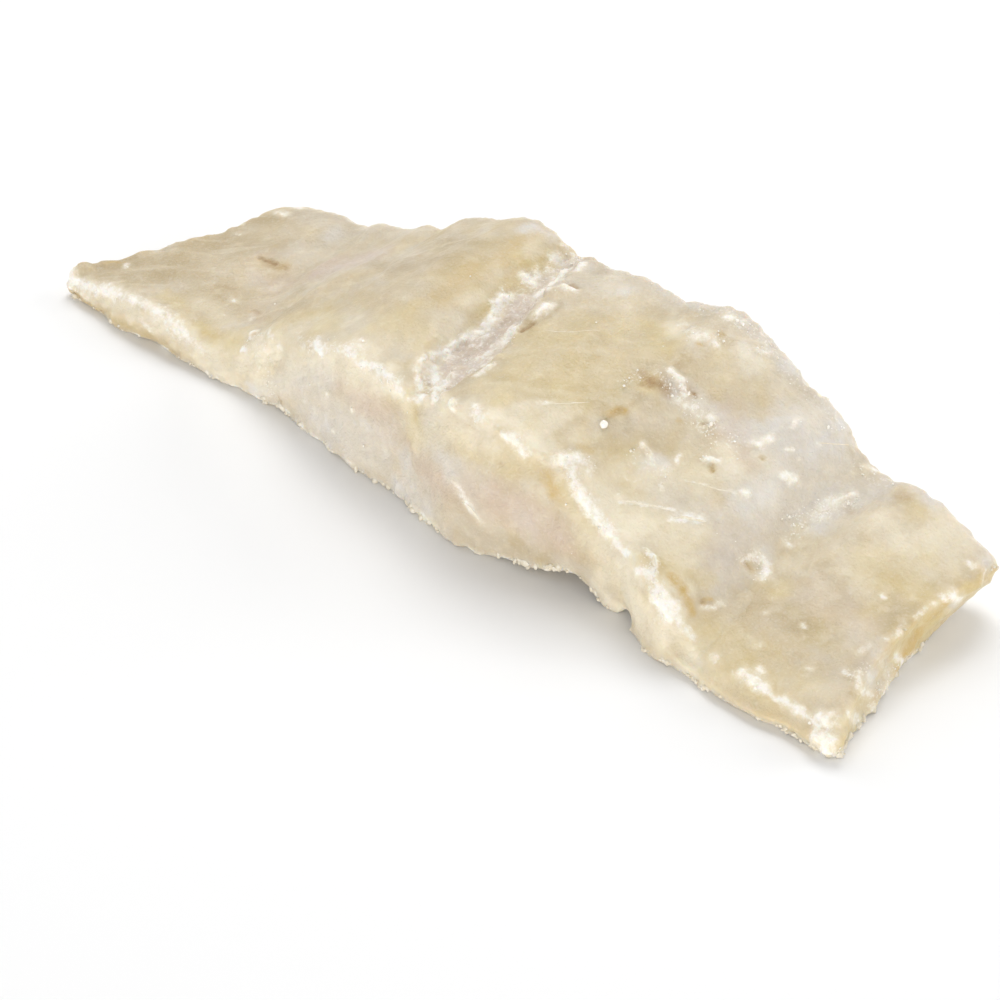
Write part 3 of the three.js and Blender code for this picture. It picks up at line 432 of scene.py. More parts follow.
        (0.86, 0.8, (-20.7, -21.9, 22.4), (-18.7, -21.8, 22.9)),
        (0.6, 1.5, (-22.8, -21.2, 22.6), (-20.1, -21.3, 23.5)),
        (0.34, 2, (-20.8, -19.3, 24.1), (-17.7, -20.5, 24)),
        (0.86, 1.2, (-16.8, -22, 22.1), (-14.3, -21.3, 23), (-11.7, -21.9, 23)),
        (0.86, 1.1, (-11.7, -21.9, 23), (-8.9, -22.1, 23.2), (-6.6, -22.3, 23.1)),
        (0.49, 1.2, (-6.4, -22.5, 22.9), (-4.5, -23.2, 22)),
        (0.77, 0.5, (-24.2, -23.5, 12.9), (-24.1, -23.6, 12.5)),
        (0.84, 0.5, (-16.8, -24.3, 13.3), (-16.8, -24.3, 12.9)),
        (0.5, 0.4, (-22.4, -24, 5.2), (-22.1, -24, 5.4)), (0.86, 0.6, (-32.6, -23, 1.4), (-32, -23.1, 1.3)),
        (0.86, 0.7, (-29, -23.3, 0.9), (-27.7, -23.3, 0.4)),
        (0.51, 0.6, (-26.4, -23.3, 0.5), (-24, -24, 1)),
        (0.52, 0.6, (-17.7, -25.1, 1.5), (-16.5, -25.2, 1.8)),
        (0.5, 0.8, (-40.4, -21.6, 1.4), (-39.7, -21.5, 1)),
        (0.62, 0.8, (-46.1, -22, 0.4), (-44.2, -22, 0.6)),
        (0.52, 0.8, (-51.7, -22.6, 0.5), (-48.6, -22.3, 0.7)),
        (0.62, 0.7, (-38.4, -21.7, 1.1), (-37, -22, 1.4)),
        (0.47, 0.6, (-64.8, -10.2, 8.1), (-64.5, -10.2, 8)),
        (0.86, 0.9, (-4.3, -20, 23.1), (-5.9, -18.4, 23.9), (-7.1, -16.5, 24.5), (-7.3, -15, 24.8)),
        (0.86, 0.8, (-3.9, -19.4, 22.8), (-0.2, -22.8, 23.2)),
        (0.64, 0.8, (-2.5, -23.1, 22.2), (-0.4, -23.4, 22.5)),
        (0.62, 0.9, (-7, -13.5, 24.4), (-7, -11.3, 24)),
        (0.86, 1.1, (-6.5, -10.5, 23.6), (-6.7, -9, 23.9), (-6.6, -7.8, 24)),
        (0.61, 1, (-6.8, -6.1, 24.4), (-6.7, -4.7, 24.6), (-6.4, -3.1, 24.8)),
        (0.74, 1.1, (-5.5, -2.8, 24.9), (-5.6, -1.1, 25.4), (-5.2, 0.1, 25.8)),
        (0.86, 1.2, (-7.3, 4, 27.4), (-7.4, 5.6, 27.9), (-6.4, 6.2, 27.8)),
        (0.57, 1.1, (-5.6, 1.2, 26.2), (-6.3, 3.5, 27)),
        (0.86, 1, (-8.6, 11.9, 28.9), (-7.4, 12.3, 28.4), (-5.8, 12.1, 28.4)),
        (0.68, 0.9, (-8.5, 19.2, 29.9), (-7.4, 19.7, 29.5), (-6.6, 20.2, 29.5)),
        (0.86, 1, (-2.4, 15, 29.4), (-2.9, 16.6, 29.5), (-3.2, 17.7, 29.6)),
        (0.84, 0.9, (-0.2, 17.6, 31.4), (-0.5, 18.7, 31.4), (-0.5, 19.6, 31.4)),
        (0.85, 1.1, (-2.3, 10.9, 29), (-2.3, 12.5, 29.1), (-2.2, 14, 29.4)),
        (0.36, 1.3, (-2.5, 9, 28.7), (-2.4, 10.2, 28.9)),
        (0.82, 1.1, (0.6, -1.3, 26.2), (0.7, -0.1, 26.6), (1.6, 0.1, 27.5)),
        (0.43, 1.1, (1, -4.7, 25.7), (0.7, -3.1, 25.8), (0.6, -1.5, 26.1)),
        (0.86, 1, (4.4, 2.3, 31), (4.2, 3.8, 31.3), (4.1, 4.9, 31.6)),
        (0.86, 0.9, (2.2, 11.4, 31.9), (4.1, 11, 32.1), (5.1, 11, 32.2)),
        (0.73, 1.2, (7.3, -16.3, 28.6), (7.5, -14.5, 28.8), (7.3, -12.5, 29.1)),
        (0.5, 1, (1, -8.1, 25.2), (0.7, -6.3, 25.4)),
        (0.86, 0.9, (-4.9, -14.9, 23), (-2.8, -16.5, 22.9), (-2, -17.4, 22.9)),
        (0.86, 0.8, (-1.2, -16.3, 23.4), (0.7, -17.7, 23.7)),
        (0.86, 0.8, (-0.5, -18.8, 23), (1.2, -19.2, 23.6)),
        (0.86, 0.9, (0.4, -20.2, 23.3), (3.6, -22.8, 24.7)),
        (0.86, 1.1, (8.1, -23.3, 26.7), (9.1, -24.1, 26.1)),
        (0.72, 1.6, (13.3, -22.9, 27.8), (15.2, -24.1, 26.8)),
        (0.17, 1.8, (16.6, -22.5, 27.8), (18.5, -23.2, 26.9)),
        (0.86, 0.9, (20.8, -23.1, 25.7), (22.1, -22.4, 25.8)),
        (0.7, 1.5, (22, -22.6, 25.6), (23.6, -22.5, 24.6), (24.7, -22.4, 23.6)),
        (0.39, 0.8, (20.7, -14.8, 28.6), (21.6, -13.9, 28.6)),
        (0.3, 0.6, (22.4, -13.7, 28.5), (22.8, -12.4, 28.7)),
        (0.36, 0.8, (22.7, -21.4, 26), (23.6, -21, 25.8)),
        # Along the near ridge, from here to about x 65, the white is partly frost and partly a painted sheen
        # highlight.
        (0.8, 1.3, (30, -19.9, 24.2), (31, -19.2, 23.7), (32, -17.2, 23.5)),
        (0.5, 1.3, (31.9, -17.1, 23.7), (33.6, -16.4, 23.1), (34.8, -16.4, 22.4)),
        (0.6, 0.8, (31.2, -18.6, 23.7), (32.9, -18.9, 22.4)),
        (0.75, 0.8, (32.9, -18.9, 22.4), (34.4, -20, 20.9)),
        (0.86, 1.4, (35.3, -19.9, 20.3), (37, -20.2, 18.8), (38.5, -20.3, 17.8)),
        (0.86, 1.5, (38.5, -20.3, 17.8), (41, -20.4, 16.6), (43.7, -20.7, 15.6)),
        (0.8, 1.2, (43.7, -20.7, 15.6), (46.2, -21.4, 14.6), (48.3, -21.9, 14.2)),
        (0.86, 0.9, (47.9, -21.8, 14.4), (49.3, -21.8, 14.7)),
        (0.86, 0.5, (51.1, -19.9, 15.3), (52.5, -20.1, 15.1), (53.3, -19.8, 14.9)),
        (0.65, 0.6, (52.9, -19.9, 15), (54.5, -21, 14.3), (55.4, -22.5, 13.6)),
        (0.86, 1, (52.5, -23.4, 13.3), (53.8, -22.8, 14), (54.8, -22.7, 13.8)),
        (0.64, 1, (55, -22.9, 13.7), (57.5, -23.5, 12.1)),
        (0.86, 2, (57.8, -24.1, 11.5), (59.5, -24.1, 10.3), (60.7, -24.4, 9)),
        (0.86, 1.5, (57.9, -23.5, 11.9), (59.7, -22.9, 10.8), (61.2, -23, 9.6)),
        (0.43, 1.3, (60.7, -24.4, 9), (62.1, -23.5, 8.6)),
        (0.65, 1.2, (62.7, -23.6, 8.1), (64.7, -23.2, 6.4)),
        (0.35, 0.4, (38.7, -12.2, 21), (39.8, -12.3, 20.2)),
        (0.35, 0.4, (40.7, -11.5, 20), (41.1, -10.2, 20.2)),
        (0.5, 0.4, (40.2, -15.2, 19), (40.4, -15.2, 18.9)),
        (0.64, 0.4, (44.3, -8.5, 19.7), (45.1, -9.3, 19.1)),
        (0.45, 0.4, (33.1, -15.4, 23.7), (33.4, -15.4, 23.6)),
        (0.25, 0.4, (36.6, -11, 23.1), (36, -12.7, 23)),
        (0.67, 0.5, (41.3, -16.1, 18.3), (44.2, -13.7, 18.1), (49.1, -10.7, 17.8)),
        (0.84, 0.9, (50.4, -12.3, 17.2), (52.3, -9.8, 17.5), (54.2, -9.4, 17.4)),
        (0.3, 1.6, (50.4, -10.3, 17.6), (53.9, -9.1, 17.7)),
        (0.55, 0.8, (38.1, -6.7, 23.8), (39.4, -6.3, 22.9), (41.1, -7.1, 21.6)),
        (0.67, 0.6, (43.5, -3.1, 22.5), (44, -4.4, 21.7)),
        (0.86, 0.7, (33.3, 5.6, 31.2), (34.4, 5.6, 30.6), (35.9, 5.9, 29.9)),
        (0.75, 0.7, (36.1, 5.4, 29.6), (37.7, 4.9, 28.5)), (0.6, 0.8, (37.1, 3.2, 28.2), (38.8, 3.3, 27.3)),
        (0.4, 1.3, (39.2, 4.1, 27.3), (40.8, 4.7, 26.7), (42.8, 5.2, 26)),
        (0.66, 0.6, (43, 5.7, 26.1), (43.6, 5.8, 25.9)), (0.46, 0.4, (43, 2.6, 25.1), (43.9, 2.1, 24.7)),
        (0.4, 1.6, (26.9, 16.1, 32.4), (29.3, 15.3, 33), (31.3, 14.5, 33.3)),
        (0.54, 1.5, (34.8, 15.7, 32.4), (33, 15.9, 33.2)),
        (0.71, 0.8, (31.9, 21.9, 34), (33.1, 22.4, 33.9)),
        (0.44, 0.8, (34.3, 23.2, 33.7), (34.5, 23.2, 33.6)),
        (0.6, 0.9, (40.3, 21, 31.4), (41.6, 22.5, 30.9)), (0.7, 0.5, (37.9, 24.8, 32), (38.2, 24.8, 31.9)),
        (0.86, 1.1, (51.7, 8.1, 23.1), (52, 9.3, 23.3), (52.4, 10.4, 23.6)),
        (0.86, 0.7, (47, -0.4, 22.4), (48, 0.2, 22.4), (49.3, 0.6, 22.4)),
        (0.86, 0.8, (56.1, -0.7, 19.9), (57, -0.2, 19.5)), (0.71, 1.2, (58, 7.7, 19.7), (59.1, 9.2, 18.8)),
        (0.82, 0.4, (55.8, 11.4, 22.6), (56.3, 12.1, 22.5)),
        (0.7, 0.3, (57.8, 12.1, 21.1), (57.9, 12.3, 21.1)),
        (0.65, 0.5, (54.1, 14.8, 24.8), (53.5, 16.5, 25.3)),
        (0.7, 0.4, (52.4, 23.8, 26.2), (52.6, 23.8, 26.1)),
        (0.7, 0.9, (65.2, 22.6, 17.6), (66.5, 23.5, 17.2)),
        (0.74, 1, (65.6, 13.6, 15), (66.4, 15, 15.6), (67.1, 16.1, 16)),
        (0.54, 1.4, (64.9, 9.9, 13.9), (64.8, 12.4, 14.8)),
        (0.6, 0.7, (64.3, 1.4, 12.5), (65.3, 1.8, 11.8)),
        (0.33, 0.5, (47.3, -5.4, 20.3), (51.3, -3.7, 20.3), (55.4, -1.7, 19.9)),
        (0.39, 0.6, (58.2, 16.9, 22.3), (61.2, 24.2, 19.2)),
        (0.53, 1.1, (62.9, -7.3, 12.5), (63.4, -5, 12.3), (64.9, -4, 11.3)),
        (0.69, 0.8, (64.9, -4, 11.3), (66.4, -5.2, 10.5), (66.2, -7, 10.2)),
        (0.58, 0.7, (63.3, -18.2, 8.9), (64.6, -16.8, 8.3)),
        (0.63, 0.6, (64.4, -15.5, 8.8), (65.1, -15.3, 8.4)), (0.73, 0.5, (72, -12.6, 9), (72.1, -12.5, 9)),
        (0.45, 0.5, (78.6, -10.4, 9), (79.3, -10.7, 8.9)),
        (0.36, 0.8, (75.6, -18.8, 7.7), (75.9, -18.6, 7.7)),
        (0.5, 0.5, (85.1, -16.7, 7.1), (85.9, -16.6, 7.1)),
        (0.73, 0.5, (85.2, 2.4, 11.9), (85.8, 2.3, 11.6)),
        (0.52, 1, (70.2, -24.2, 5.1), (71.8, -24.2, 5.6)),
        (0.86, 1.4, (77.6, -24.4, 5.8), (79.1, -24.3, 5.8), (80.5, -24.3, 5.5)),
        (0.86, 0.7, (79.2, -21.9, 6.6), (80, -22.3, 6.4)), (0.86, 1, (81, -24.6, 5.3), (82, -24, 5.5)),
        (0.79, 0.6, (82.4, -24.4, 5.2), (84.2, -24.5, 4.8), (86.8, -24.2, 5)),
        (0.86, 1.2, (86.8, -24.2, 5), (88.3, -24.2, 5), (90, -24.2, 5)),
        (0.86, 0.7, (90, -24.2, 5), (92.3, -24.3, 4.9), (94.4, -24.7, 4.6)),
        (0.86, 1.3, (93.9, -23.8, 6), (95.5, -24.1, 5.8), (95.8, -23.5, 6.5)),
        (0.86, 1.7, (94.8, -25.9, 3.7), (96.6, -25.7, 4), (97.4, -26, 2)),
        (0.86, 0.9, (97.8, -25.7, 3.9), (98.1, -25.3, 4.3)),
        (0.86, 1, (96.3, -25.6, 0.4), (97.6, -25.8, 1.6)),
        (0.86, 0.6, (93.9, -25.6, 0.3), (94.1, -25.6, 0.2)), (0.66, 1, (98.4, -25, 0.5), (99, -23.7, 0.7)),
        (0.5, 0.7, (91.1, -14.2, 8), (92.7, -14.3, 8.1)),
        (0.57, 0.7, (95.2, -15.9, 7.7), (93.1, -13.2, 8.6)),
        (0.5, 0.7, (90.5, -9.6, 9.3), (90.7, -7.8, 9.8)), (0.6, 1, (95.4, -14.8, 7), (94.7, -12, 3.8)),
        (0.54, 1, (97.7, -20.6, 6.5), (96, -16.1, 1.6)),
        (0.85, 1, (92.9, -3, 6.1), (91.9, 0.1, 2.2), (91.6, -1.5, 0.3)),
        (0.64, 1, (91.6, 1.8, 2.4), (91.4, 4.2, 0.5)), (0.67, 1.2, (94, -7.8, 1.9), (92.1, -3.2, 0.2)),
        (0.51, 0.8, (95.2, -12.5, 2.2), (95.4, -12.3, 1.1)),
        (0.35, 0.8, (92.7, -5, 10.4), (92.8, -2.7, 10.4), (91.6, 0.9, 10.3)),
        (0.46, 0.7, (92.5, 2.6, 10.7), (92.2, 5.5, 11), (92.5, 7.8, 10.9)),
        (0.86, 1.1, (92.9, 10, 10.9), (93.4, 11.3, 11.1), (93.2, 14.1, 8.3)),
        (0.7, 1, (90.7, 19.3, 3.3), (92.9, 18.6, 6.4)), (0.49, 0.7, (94.9, 18.4, 11.2), (94.6, 20, 12.3)),
        (0.61, 0.9, (91.2, 18.2, 13.2), (92.4, 18.3, 12.9)),
        (0.53, 1.2, (12.2, -26.9, 13.3), (14.1, -27.1, 11.5), (16.2, -27.2, 10.1)),
        (0.56, 0.5, (15.3, -27.3, 10.5), (17, -27.3, 9.4), (18.7, -27.3, 8.5)),
        (0.73, 0.6, (3.2, -26.6, 1.7), (5.1, -27.1, 1.6)),
        (0.57, 0.8, (16.7, -27.3, 1), (18.6, -27.1, 0.8)),
        (0.61, 0.8, (22.1, -25.6, 1.2), (24.8, -25.1, 1.5)),
        (0.31, 0.8, (31.2, -23.7, 2.8), (32.6, -23.4, 2.9)),
        (0.37, 0.8, (34.2, -23, 3.6), (36.1, -22.5, 4)),
        (0.84, 1.2, (-98.1, -22.7, 3.8), (-94.4, -23.1, 3.6), (-89.6, -22.9, 4.7), (-84.9, -22.7, 6.1)),
        (0.41, 1.3, (-69.2, -22.6, 6.4), (-64.8, -22.4, 5.7), (-59, -22.6, 4.4)),
        (0.52, 0.7, (-98.2, -22.2, 4.9), (-97.9, -23.2, 3.1), (-96.4, -24, 2.4)),
        (0.26, 1.6, (93.5, -7.9, 9.3), (93, -5.8, 4.1)),
    ],
}
# Where loose grains lie, and single pits and lumps, given in the same way. A pit or lump has its
# depth or height in place of the strength.
FORMS = {
    "grains": [
        (1, 3.6, (63, 5.7, 13.8), (63.8, 9.4, 14.2), (65.5, 12.1, 14.5), (68.1, 14.8, 15.7)),
        (0.8, 2, (64.1, 2.6, 12.8), (65.3, 4.5, 12.5)),
        (0.9, 2.6, (32.5, 4.4, 31.1), (36.3, 3.9, 29), (39.6, 4, 27.1)),
        (0.8, 4.2, (40.4, 3.6, 26.5), (44.8, 4, 25), (49.5, 4.6, 23.7)),
        (0.7, 2, (28.2, -2.1, 29.7), (29.8, 1.9, 30.2)), (0.8, 3, (38.7, -8.4, 22.4), (42.9, -6.7, 21)),
        (1, 1.8, (62.7, -7.8, 12.6), (63.1, -5.7, 12.5), (64.7, -4.3, 11.4), (65.9, -6.7, 10.3)),
        (1, 2.4, (53.1, -20.9, 14.8), (57.5, -23.5, 12.1), (61.1, -23.9, 9.2)),
        (0.7, 4, (-48.9, -18.6, 10.8), (-44.2, -20.9, 9.3), (-41.2, -22, 4.4)),
        (0.7, 2.6, (-31.8, -20.3, 19), (-19.5, -21.3, 23.6)),
        (0.8, 2.6, (-16.3, -21.9, 22.1), (-6.5, -22.4, 23)),
        (0.7, 3, (26.3, 21.2, 32.8), (33.5, 22.7, 33.8), (40.5, 24, 31.3)),
        (0.6, 3, (29.6, 14.9, 33.1), (34.6, 17.3, 32.6)),
        (0.8, 2.4, (78.1, -24.4, 5.7), (81.4, -24.3, 5.4)), (0.8, 3, (94.1, -24.4, 5.1), (97.2, -26, 3.6)),
        (0.9, 3, (94.8, -11.6, 2.5), (93, -4.5, 2.5), (91.7, 0.8, 2.5)),
        (0.7, 2.6, (92.4, -14.4, 8.1), (93.5, -11.6, 8.7)),
        (0.8, 2.4, (31.3, -19.2, 23.4), (36.6, -19.8, 19.5), (43.4, -20.5, 15.8)),
        (0.6, 3, (41.7, 22.7, 30.8), (51.4, 23, 26.8), (57.8, 22.7, 24)),
        (0.6, 3, (64.7, 21, 17.6), (71.2, 21.2, 17.9)),
    ],
    "pits": [
        (0.5, 0.9, (-71.1, 2.4, 9.2), (-69.1, 2.8, 9.3), (-66.9, 3.1, 9.2)),
        (0.2, 0.9, (-70.9, -8.6, 8), (-67.5, -7.7, 8.2)), (0.4, 1.3, (32, 1.8, 30.5), (33.9, 2.3, 29.9)),
        (0.35, 1, (31, 0.3, 29.9), (32.6, 0.6, 30.1)), (0.4, 0.9, (33.1, 13.9, 33), (33.6, 13.9, 32.8)),
        (0.5, 1.1, (48.8, -0.7, 21.8), (49.4, -1.1, 21.6)),
        (0.35, 0.8, (53.9, 6.9, 22.3), (54.2, 6.9, 22.2)),
        (0.45, 0.6, (42.9, 3.8, 25.5), (43.1, 4.2, 25.6)), (0.3, 0.6, (38.7, 6.2, 28.4), (39, 6.1, 28.1)),
        (0.8, 1.3, (63.3, -7.2, 12.2), (64.3, -7, 11.4)), (0.6, 1.1, (64, -5.7, 11.8), (65.2, -5.4, 10.9)),
        (0.8, 1.4, (62.9, -18, 9.2), (63.5, -17.4, 8.9)), (0.45, 1, (2, 12.9, 31.8), (4.2, 12.1, 32.1)),
        (0.5, 1, (4.5, -2.2, 29.8), (5.2, 0.2, 30.7)), (0.35, 0.8, (32.2, -6.9, 27.7), (32.2, -6.1, 28)),
        (0.4, 0.7, (31.5, -18.8, 23.3), (31.9, -18.7, 23)),
        (0.35, 0.7, (20.6, -24.1, 20.3), (21, -24.1, 20.1)),
        (0.4, 0.7, (-7.8, -24.8, 0.6), (-7.3, -24.7, 0.6)),
        (0.4, 1.4, (55.2, -21.1, 13.9), (57.5, -21.1, 12.5), (60.1, -20.8, 10.7)),
        (2.2, 3.4, (94.9, 21.5, 11.2), (93.8, 21.7, 7.4)), (0.45, 0.8, (33.9, 18.3, 33), (34.2, 18.7, 33)),
    ],
    "lumps": [
        (0.5, 1.5, (4.5, 3.6, 31.2)), (0.45, 1.4, (3.7, -1.6, 29.4)), (0.5, 1.4, (6.5, -10, 28.9)),
        (0.4, 1.3, (7.4, -13.5, 28.9)),
        (0.6, 1.1, (33.3, 5.6, 31.2), (34.4, 5.6, 30.6), (35.9, 5.9, 29.9), (37.7, 4.9, 28.5)),
        (0.5, 0.9, (38.1, -6.7, 23.8), (39.4, -6.3, 22.9), (41.1, -7.1, 21.6)),
        (0.45, 1.1, (51.7, 8.1, 23.1), (52, 9.3, 23.3), (52.4, 10.4, 23.6)),
        (0.35, 0.8, (47, -0.4, 22.4), (48, 0.2, 22.4), (49.3, 0.6, 22.4)),
        (0.5, 1.1, (-7.3, 4, 27.4), (-7.4, 5.6, 27.9), (-6.4, 6.2, 27.8)),
        (0.5, 1, (-8.6, 11.9, 28.9), (-7.4, 12.3, 28.4), (-5.8, 12.1, 28.4)),
        (0.5, 1, (-2.4, 15, 29.4), (-2.9, 16.6, 29.5), (-3.2, 17.7, 29.6)),
        (0.6, 1.1, (0.6, -1.3, 26.2), (0.7, -0.1, 26.6), (1.6, 0.1, 27.5)),
        (0.5, 1, (4.4, 2.3, 31), (4.2, 3.8, 31.3), (4.1, 4.9, 31.6)),
        (0.5, 1, (2.2, 11.4, 31.9), (4.1, 11, 32.1), (5.1, 11, 32.2)),
        (0.5, 1.1, (-6.5, -10.5, 23.6), (-6.7, -9, 23.9), (-6.6, -7.8, 24)),
        (0.5, 0.9, (-4.3, -20, 23.1), (-5.9, -18.4, 23.9), (-7.1, -16.5, 24.5), (-7.3, -15, 24.8)),
        (0.4, 0.9, (3, -22.7, 24.3), (-2, -17.4, 22.9)), (0.8, 1.2, (8.2, -23.7, 26.5), (8.9, -23.9, 26.3)),
        (0.5, 0.6, (51.1, -19.9, 15.3), (52.5, -20.1, 15.1), (53.3, -19.8, 14.9), (54.5, -21, 14.3),
         (55.4, -22.5, 13.6)), (0.35, 1.4, (30, -19.9, 24.2), (31, -19.2, 23.7), (32, -17.2, 23.5)),
        (0.3, 1.3, (35.3, -19.9, 20.3), (37, -20.2, 18.8), (38.5, -20.3, 17.8), (43.7, -20.7, 15.6)),
        (0.35, 1.5, (57.8, -24.1, 11.5), (59.5, -24.1, 10.3), (60.7, -24.4, 9)),
        (0.35, 1.3, (77.6, -24.4, 5.8), (79.1, -24.3, 5.8), (80.5, -24.3, 5.5)),
        (0.4, 1.2, (93.9, -23.8, 6), (95.5, -24.1, 5.8), (95.8, -23.5, 6.5)),
        (0.4, 1.6, (94.8, -25.9, 3.7), (96.6, -25.7, 4), (97.4, -26, 2)),
        (0.4, 1.3, (58, 7.7, 19.7), (59.1, 9.2, 18.8)),
        (0.35, 1, (65.6, 13.6, 15), (66.4, 15, 15.6), (67.1, 16.1, 16)),
        (0.4, 1.3, (-29.8, -20.4, 19.7), (-27.9, -21.5, 19.4)),
        (0.4, 1.1, (-51.4, -17.3, 10), (-50.7, -16.7, 10.5)),
        (0.9, 2.6, (-98.1, -22.4, 4.6), (-97.8, -21.5, 5.5), (-96.7, -20.4, 5.7)),
        (0.9, 3, (95, -12, 2.4), (93.3, -6, 2.5), (92, -1.2, 2.5), (92, 1.4, 3.6)),
        (0.4, 2, (22.5, 24, 31.4), (27.8, 23.4, 33.3)),
    ],
}
# The edges of the strokes wander in waves of two lengths.
wander = np.stack([waves(points, 4, drift) for drift in (31, 41, 47)], axis=1)
wander += 0.6 * np.stack([waves(points, 1.6, drift) for drift in (37, 43, 53)], axis=1)
WANDER_SHARE = 0.25
WANDER_MOST = 5


def stroke_share(strokes, spread):
    """How strongly a set of strokes covers each point: full along each one, fading at its reach."""
    bare = np.ones(len(points))
    for strength, reach, *way in strokes:
        way = np.array(way)
        reach = reach * spread
        loose = WANDER_SHARE * min(reach, WANDER_MOST)
        margin = reach + 2.5 * loose
        close = ((points > way.min(axis=0) - margin) & (points < way.max(axis=0) + margin)).all(axis=1)
        spots = points[close] + loose * wander[close]
        nearest = np.full(len(spots), np.inf)
        for start, end in zip(way, way[1:] if len(way) > 1 else way):
            run = end - start
            share = np.clip((spots - start) @ run / max(run @ run, 0.01), 0, 1)
            nearest = np.minimum(nearest, np.linalg.norm(spots - start - share[:, None] * run, axis=1))
        bare[close] *= 1 - strength * (1 - eased(nearest / reach, 0.1, 1))
    return 1 - bare


masks = {name: stroke_share(strokes, 1) for name, strokes in TONES.items()}
masks["grains"] = stroke_share(FORMS["grains"], 1) + 0.7 * in_crevice

# Round each patch of frost and sheen lies a wider, thinner bloom of white over cream: painted glow of light
# spreading through the flesh round the white.
HALO_SPREAD = 2
halo = stroke_share(TONES["frost_and_sheen"], HALO_SPREAD)
masks["frost_and_sheen"] = 0.62 * masks["frost_and_sheen"] + 0.42 * halo
masks["cream"] = np.maximum(masks["cream"], 0.75 * halo)

# The edges crumble: along the foot, at the two cuts and on the far crest. FOOT_LIFT says how high
# the near foot stands off the table, and FAR_CREST where the crest begins, from left to right.
FOOT_LIFT = [(18, 0), (24, 0.7), (29, 1.4), (36, 2.8), (40, 2), (44, 0), (48, 0.2), (52, 0.1), (56, 0)]
FOOT_REACH = 2.2
FAR_CREST = [(-80, 17), (0, 20), (60, 21), (95, 19)]
CREST_CRUMBLE = [(-60, 0.3), (-35, 1), (55, 1), (72, 0.3)]
LEFT_CUT_CRUMBLE = 0.25
RIGHT_CUT_CRUMBLE = 0.4
foot_height = along(x, FOOT_LIFT) * (y < -12)
foot = (1 - eased(z - foot_height, 0, FOOT_REACH)) * (1 - facing["under"])
far_crest = eased(y, along(x, FAR_CREST), 24)
cut_crumble = at_cut * facing["end"] * np.where(x < 0, LEFT_CUT_CRUMBLE, RIGHT_CUT_CRUMBLE)
crest_crumble = far_crest * along(x, CREST_CRUMBLE)
crumbly = np.maximum.reduce([foot, cut_crumble, crest_crumble]) * (1 - facing["under"])

# The muscle runs in fine streaks: slantwise along the top, and down the near face from the middle
# to both sides.
FIBRE_TURN = math.radians(36)
MIDDLE_X = 2
# Each kind of streak has a share, a length, a width and a drift of its own.
STREAKS = ((0.5, 24, 3.4, 0), (0.35, 11, 1.6, 9), (0.3, 6, 0.75, 15))
top_run = x * math.cos(FIBRE_TURN) + y * math.sin(FIBRE_TURN)
top_across = y * math.cos(FIBRE_TURN) - x * math.sin(FIBRE_TURN) + 2 * waves(points, 22, 3)
near_run = np.abs(x - MIDDLE_X) * 0.8
near_across = z + 0.62 * np.abs(x - MIDDLE_X) + 1.5 * waves(points, 20, 5)
streak = np.zeros(len(points))
for share, length, width, drift in STREAKS:
    on_top = np.stack([top_run / length, top_across / width, z * 0 + drift], axis=1)
    on_near = np.stack([near_run / length, near_across / width, z * 0 + drift + 4], axis=1)
    streak += share * (facing["top"] * waves(on_top, 1.0) + (1 - facing["top"]) * waves(on_near, 1.0))

# The fine relief, in mm. The hump, the right slab and the right part of the near face are smoother
# than the rest.
UNEVENNESS = [(-90, 1), (-60, 1.8), (-30, 1.6), (-20, 0.4), (0, 0.4), (8, 0.8), (45, 0.8), (62, 0.4)]
WAVE_RELIEF = 0.07
RIPPLE_RELIEF = 0.04
STREAK_RELIEF = 0.08
CRUMBLE_RELIEF = 0.35
CREVICE_RELIEF = 0.42
RIM_RELIEF = 0.5
PIT_DEPTH = 0.65
unevenness = along(x, UNEVENNESS)
unevenness = unevenness * (1 + facing["near"] * np.where(x < 5, 0.5, -0.5))
rise = WAVE_RELIEF * waves(points, 3.1) + RIPPLE_RELIEF * waves(points, 1.5, 11.3)
rise = unevenness * (rise + STREAK_RELIEF * streak)
rise += CRUMBLE_RELIEF * crumbly * (waves(points, 2.2, 3.7) + waves(points, 1.2, 5.1))
crevice_lumps = waves(points, 2.3, 8.1) + 0.7 * waves(points, 1.2, 2.9)
rise += CREVICE_RELIEF * in_crevice * crevice_lumps
rim_lumps = crevice_rims * eased(waves(points, 2.6, 27), -0.1, 0.5)
rise += RIM_RELIEF * rim_lumps
rise += np.clip(masks["frost_and_sheen"], 0, 1) * (0.1 + 0.2 * waves(points, 1.5, 23))
rise += stroke_share(FORMS["lumps"], 1) * (1 + 0.35 * waves(points, 1.2, 29))
rise -= PIT_DEPTH * stroke_share(FORMS["pits"], 1.15)
# Three long flake seams lean across the far face, each given by its x at the top and its lean.
SEAMS = ((-38, 0.5), (12, 0.45), (52, 0.55))
SEAM_TOP = 34
SEAM_WIDTH = 1.6
SEAM_DEPTH = 0.45
for seam_x, lean in SEAMS:
    off_seam = np.abs(x - seam_x - lean * (SEAM_TOP - z) + 1.5 * waves(points, 9, 67))
    rise -= SEAM_DEPTH * facing["far"] * (1 - eased(off_seam, 0, SEAM_WIDTH))
relieved = points + normals * (rise * (1 - facing["under"]))[:, None]
relieved[:, 2] = np.maximum(relieved[:, 2], 0)
set_points(flesh.data, relieved)

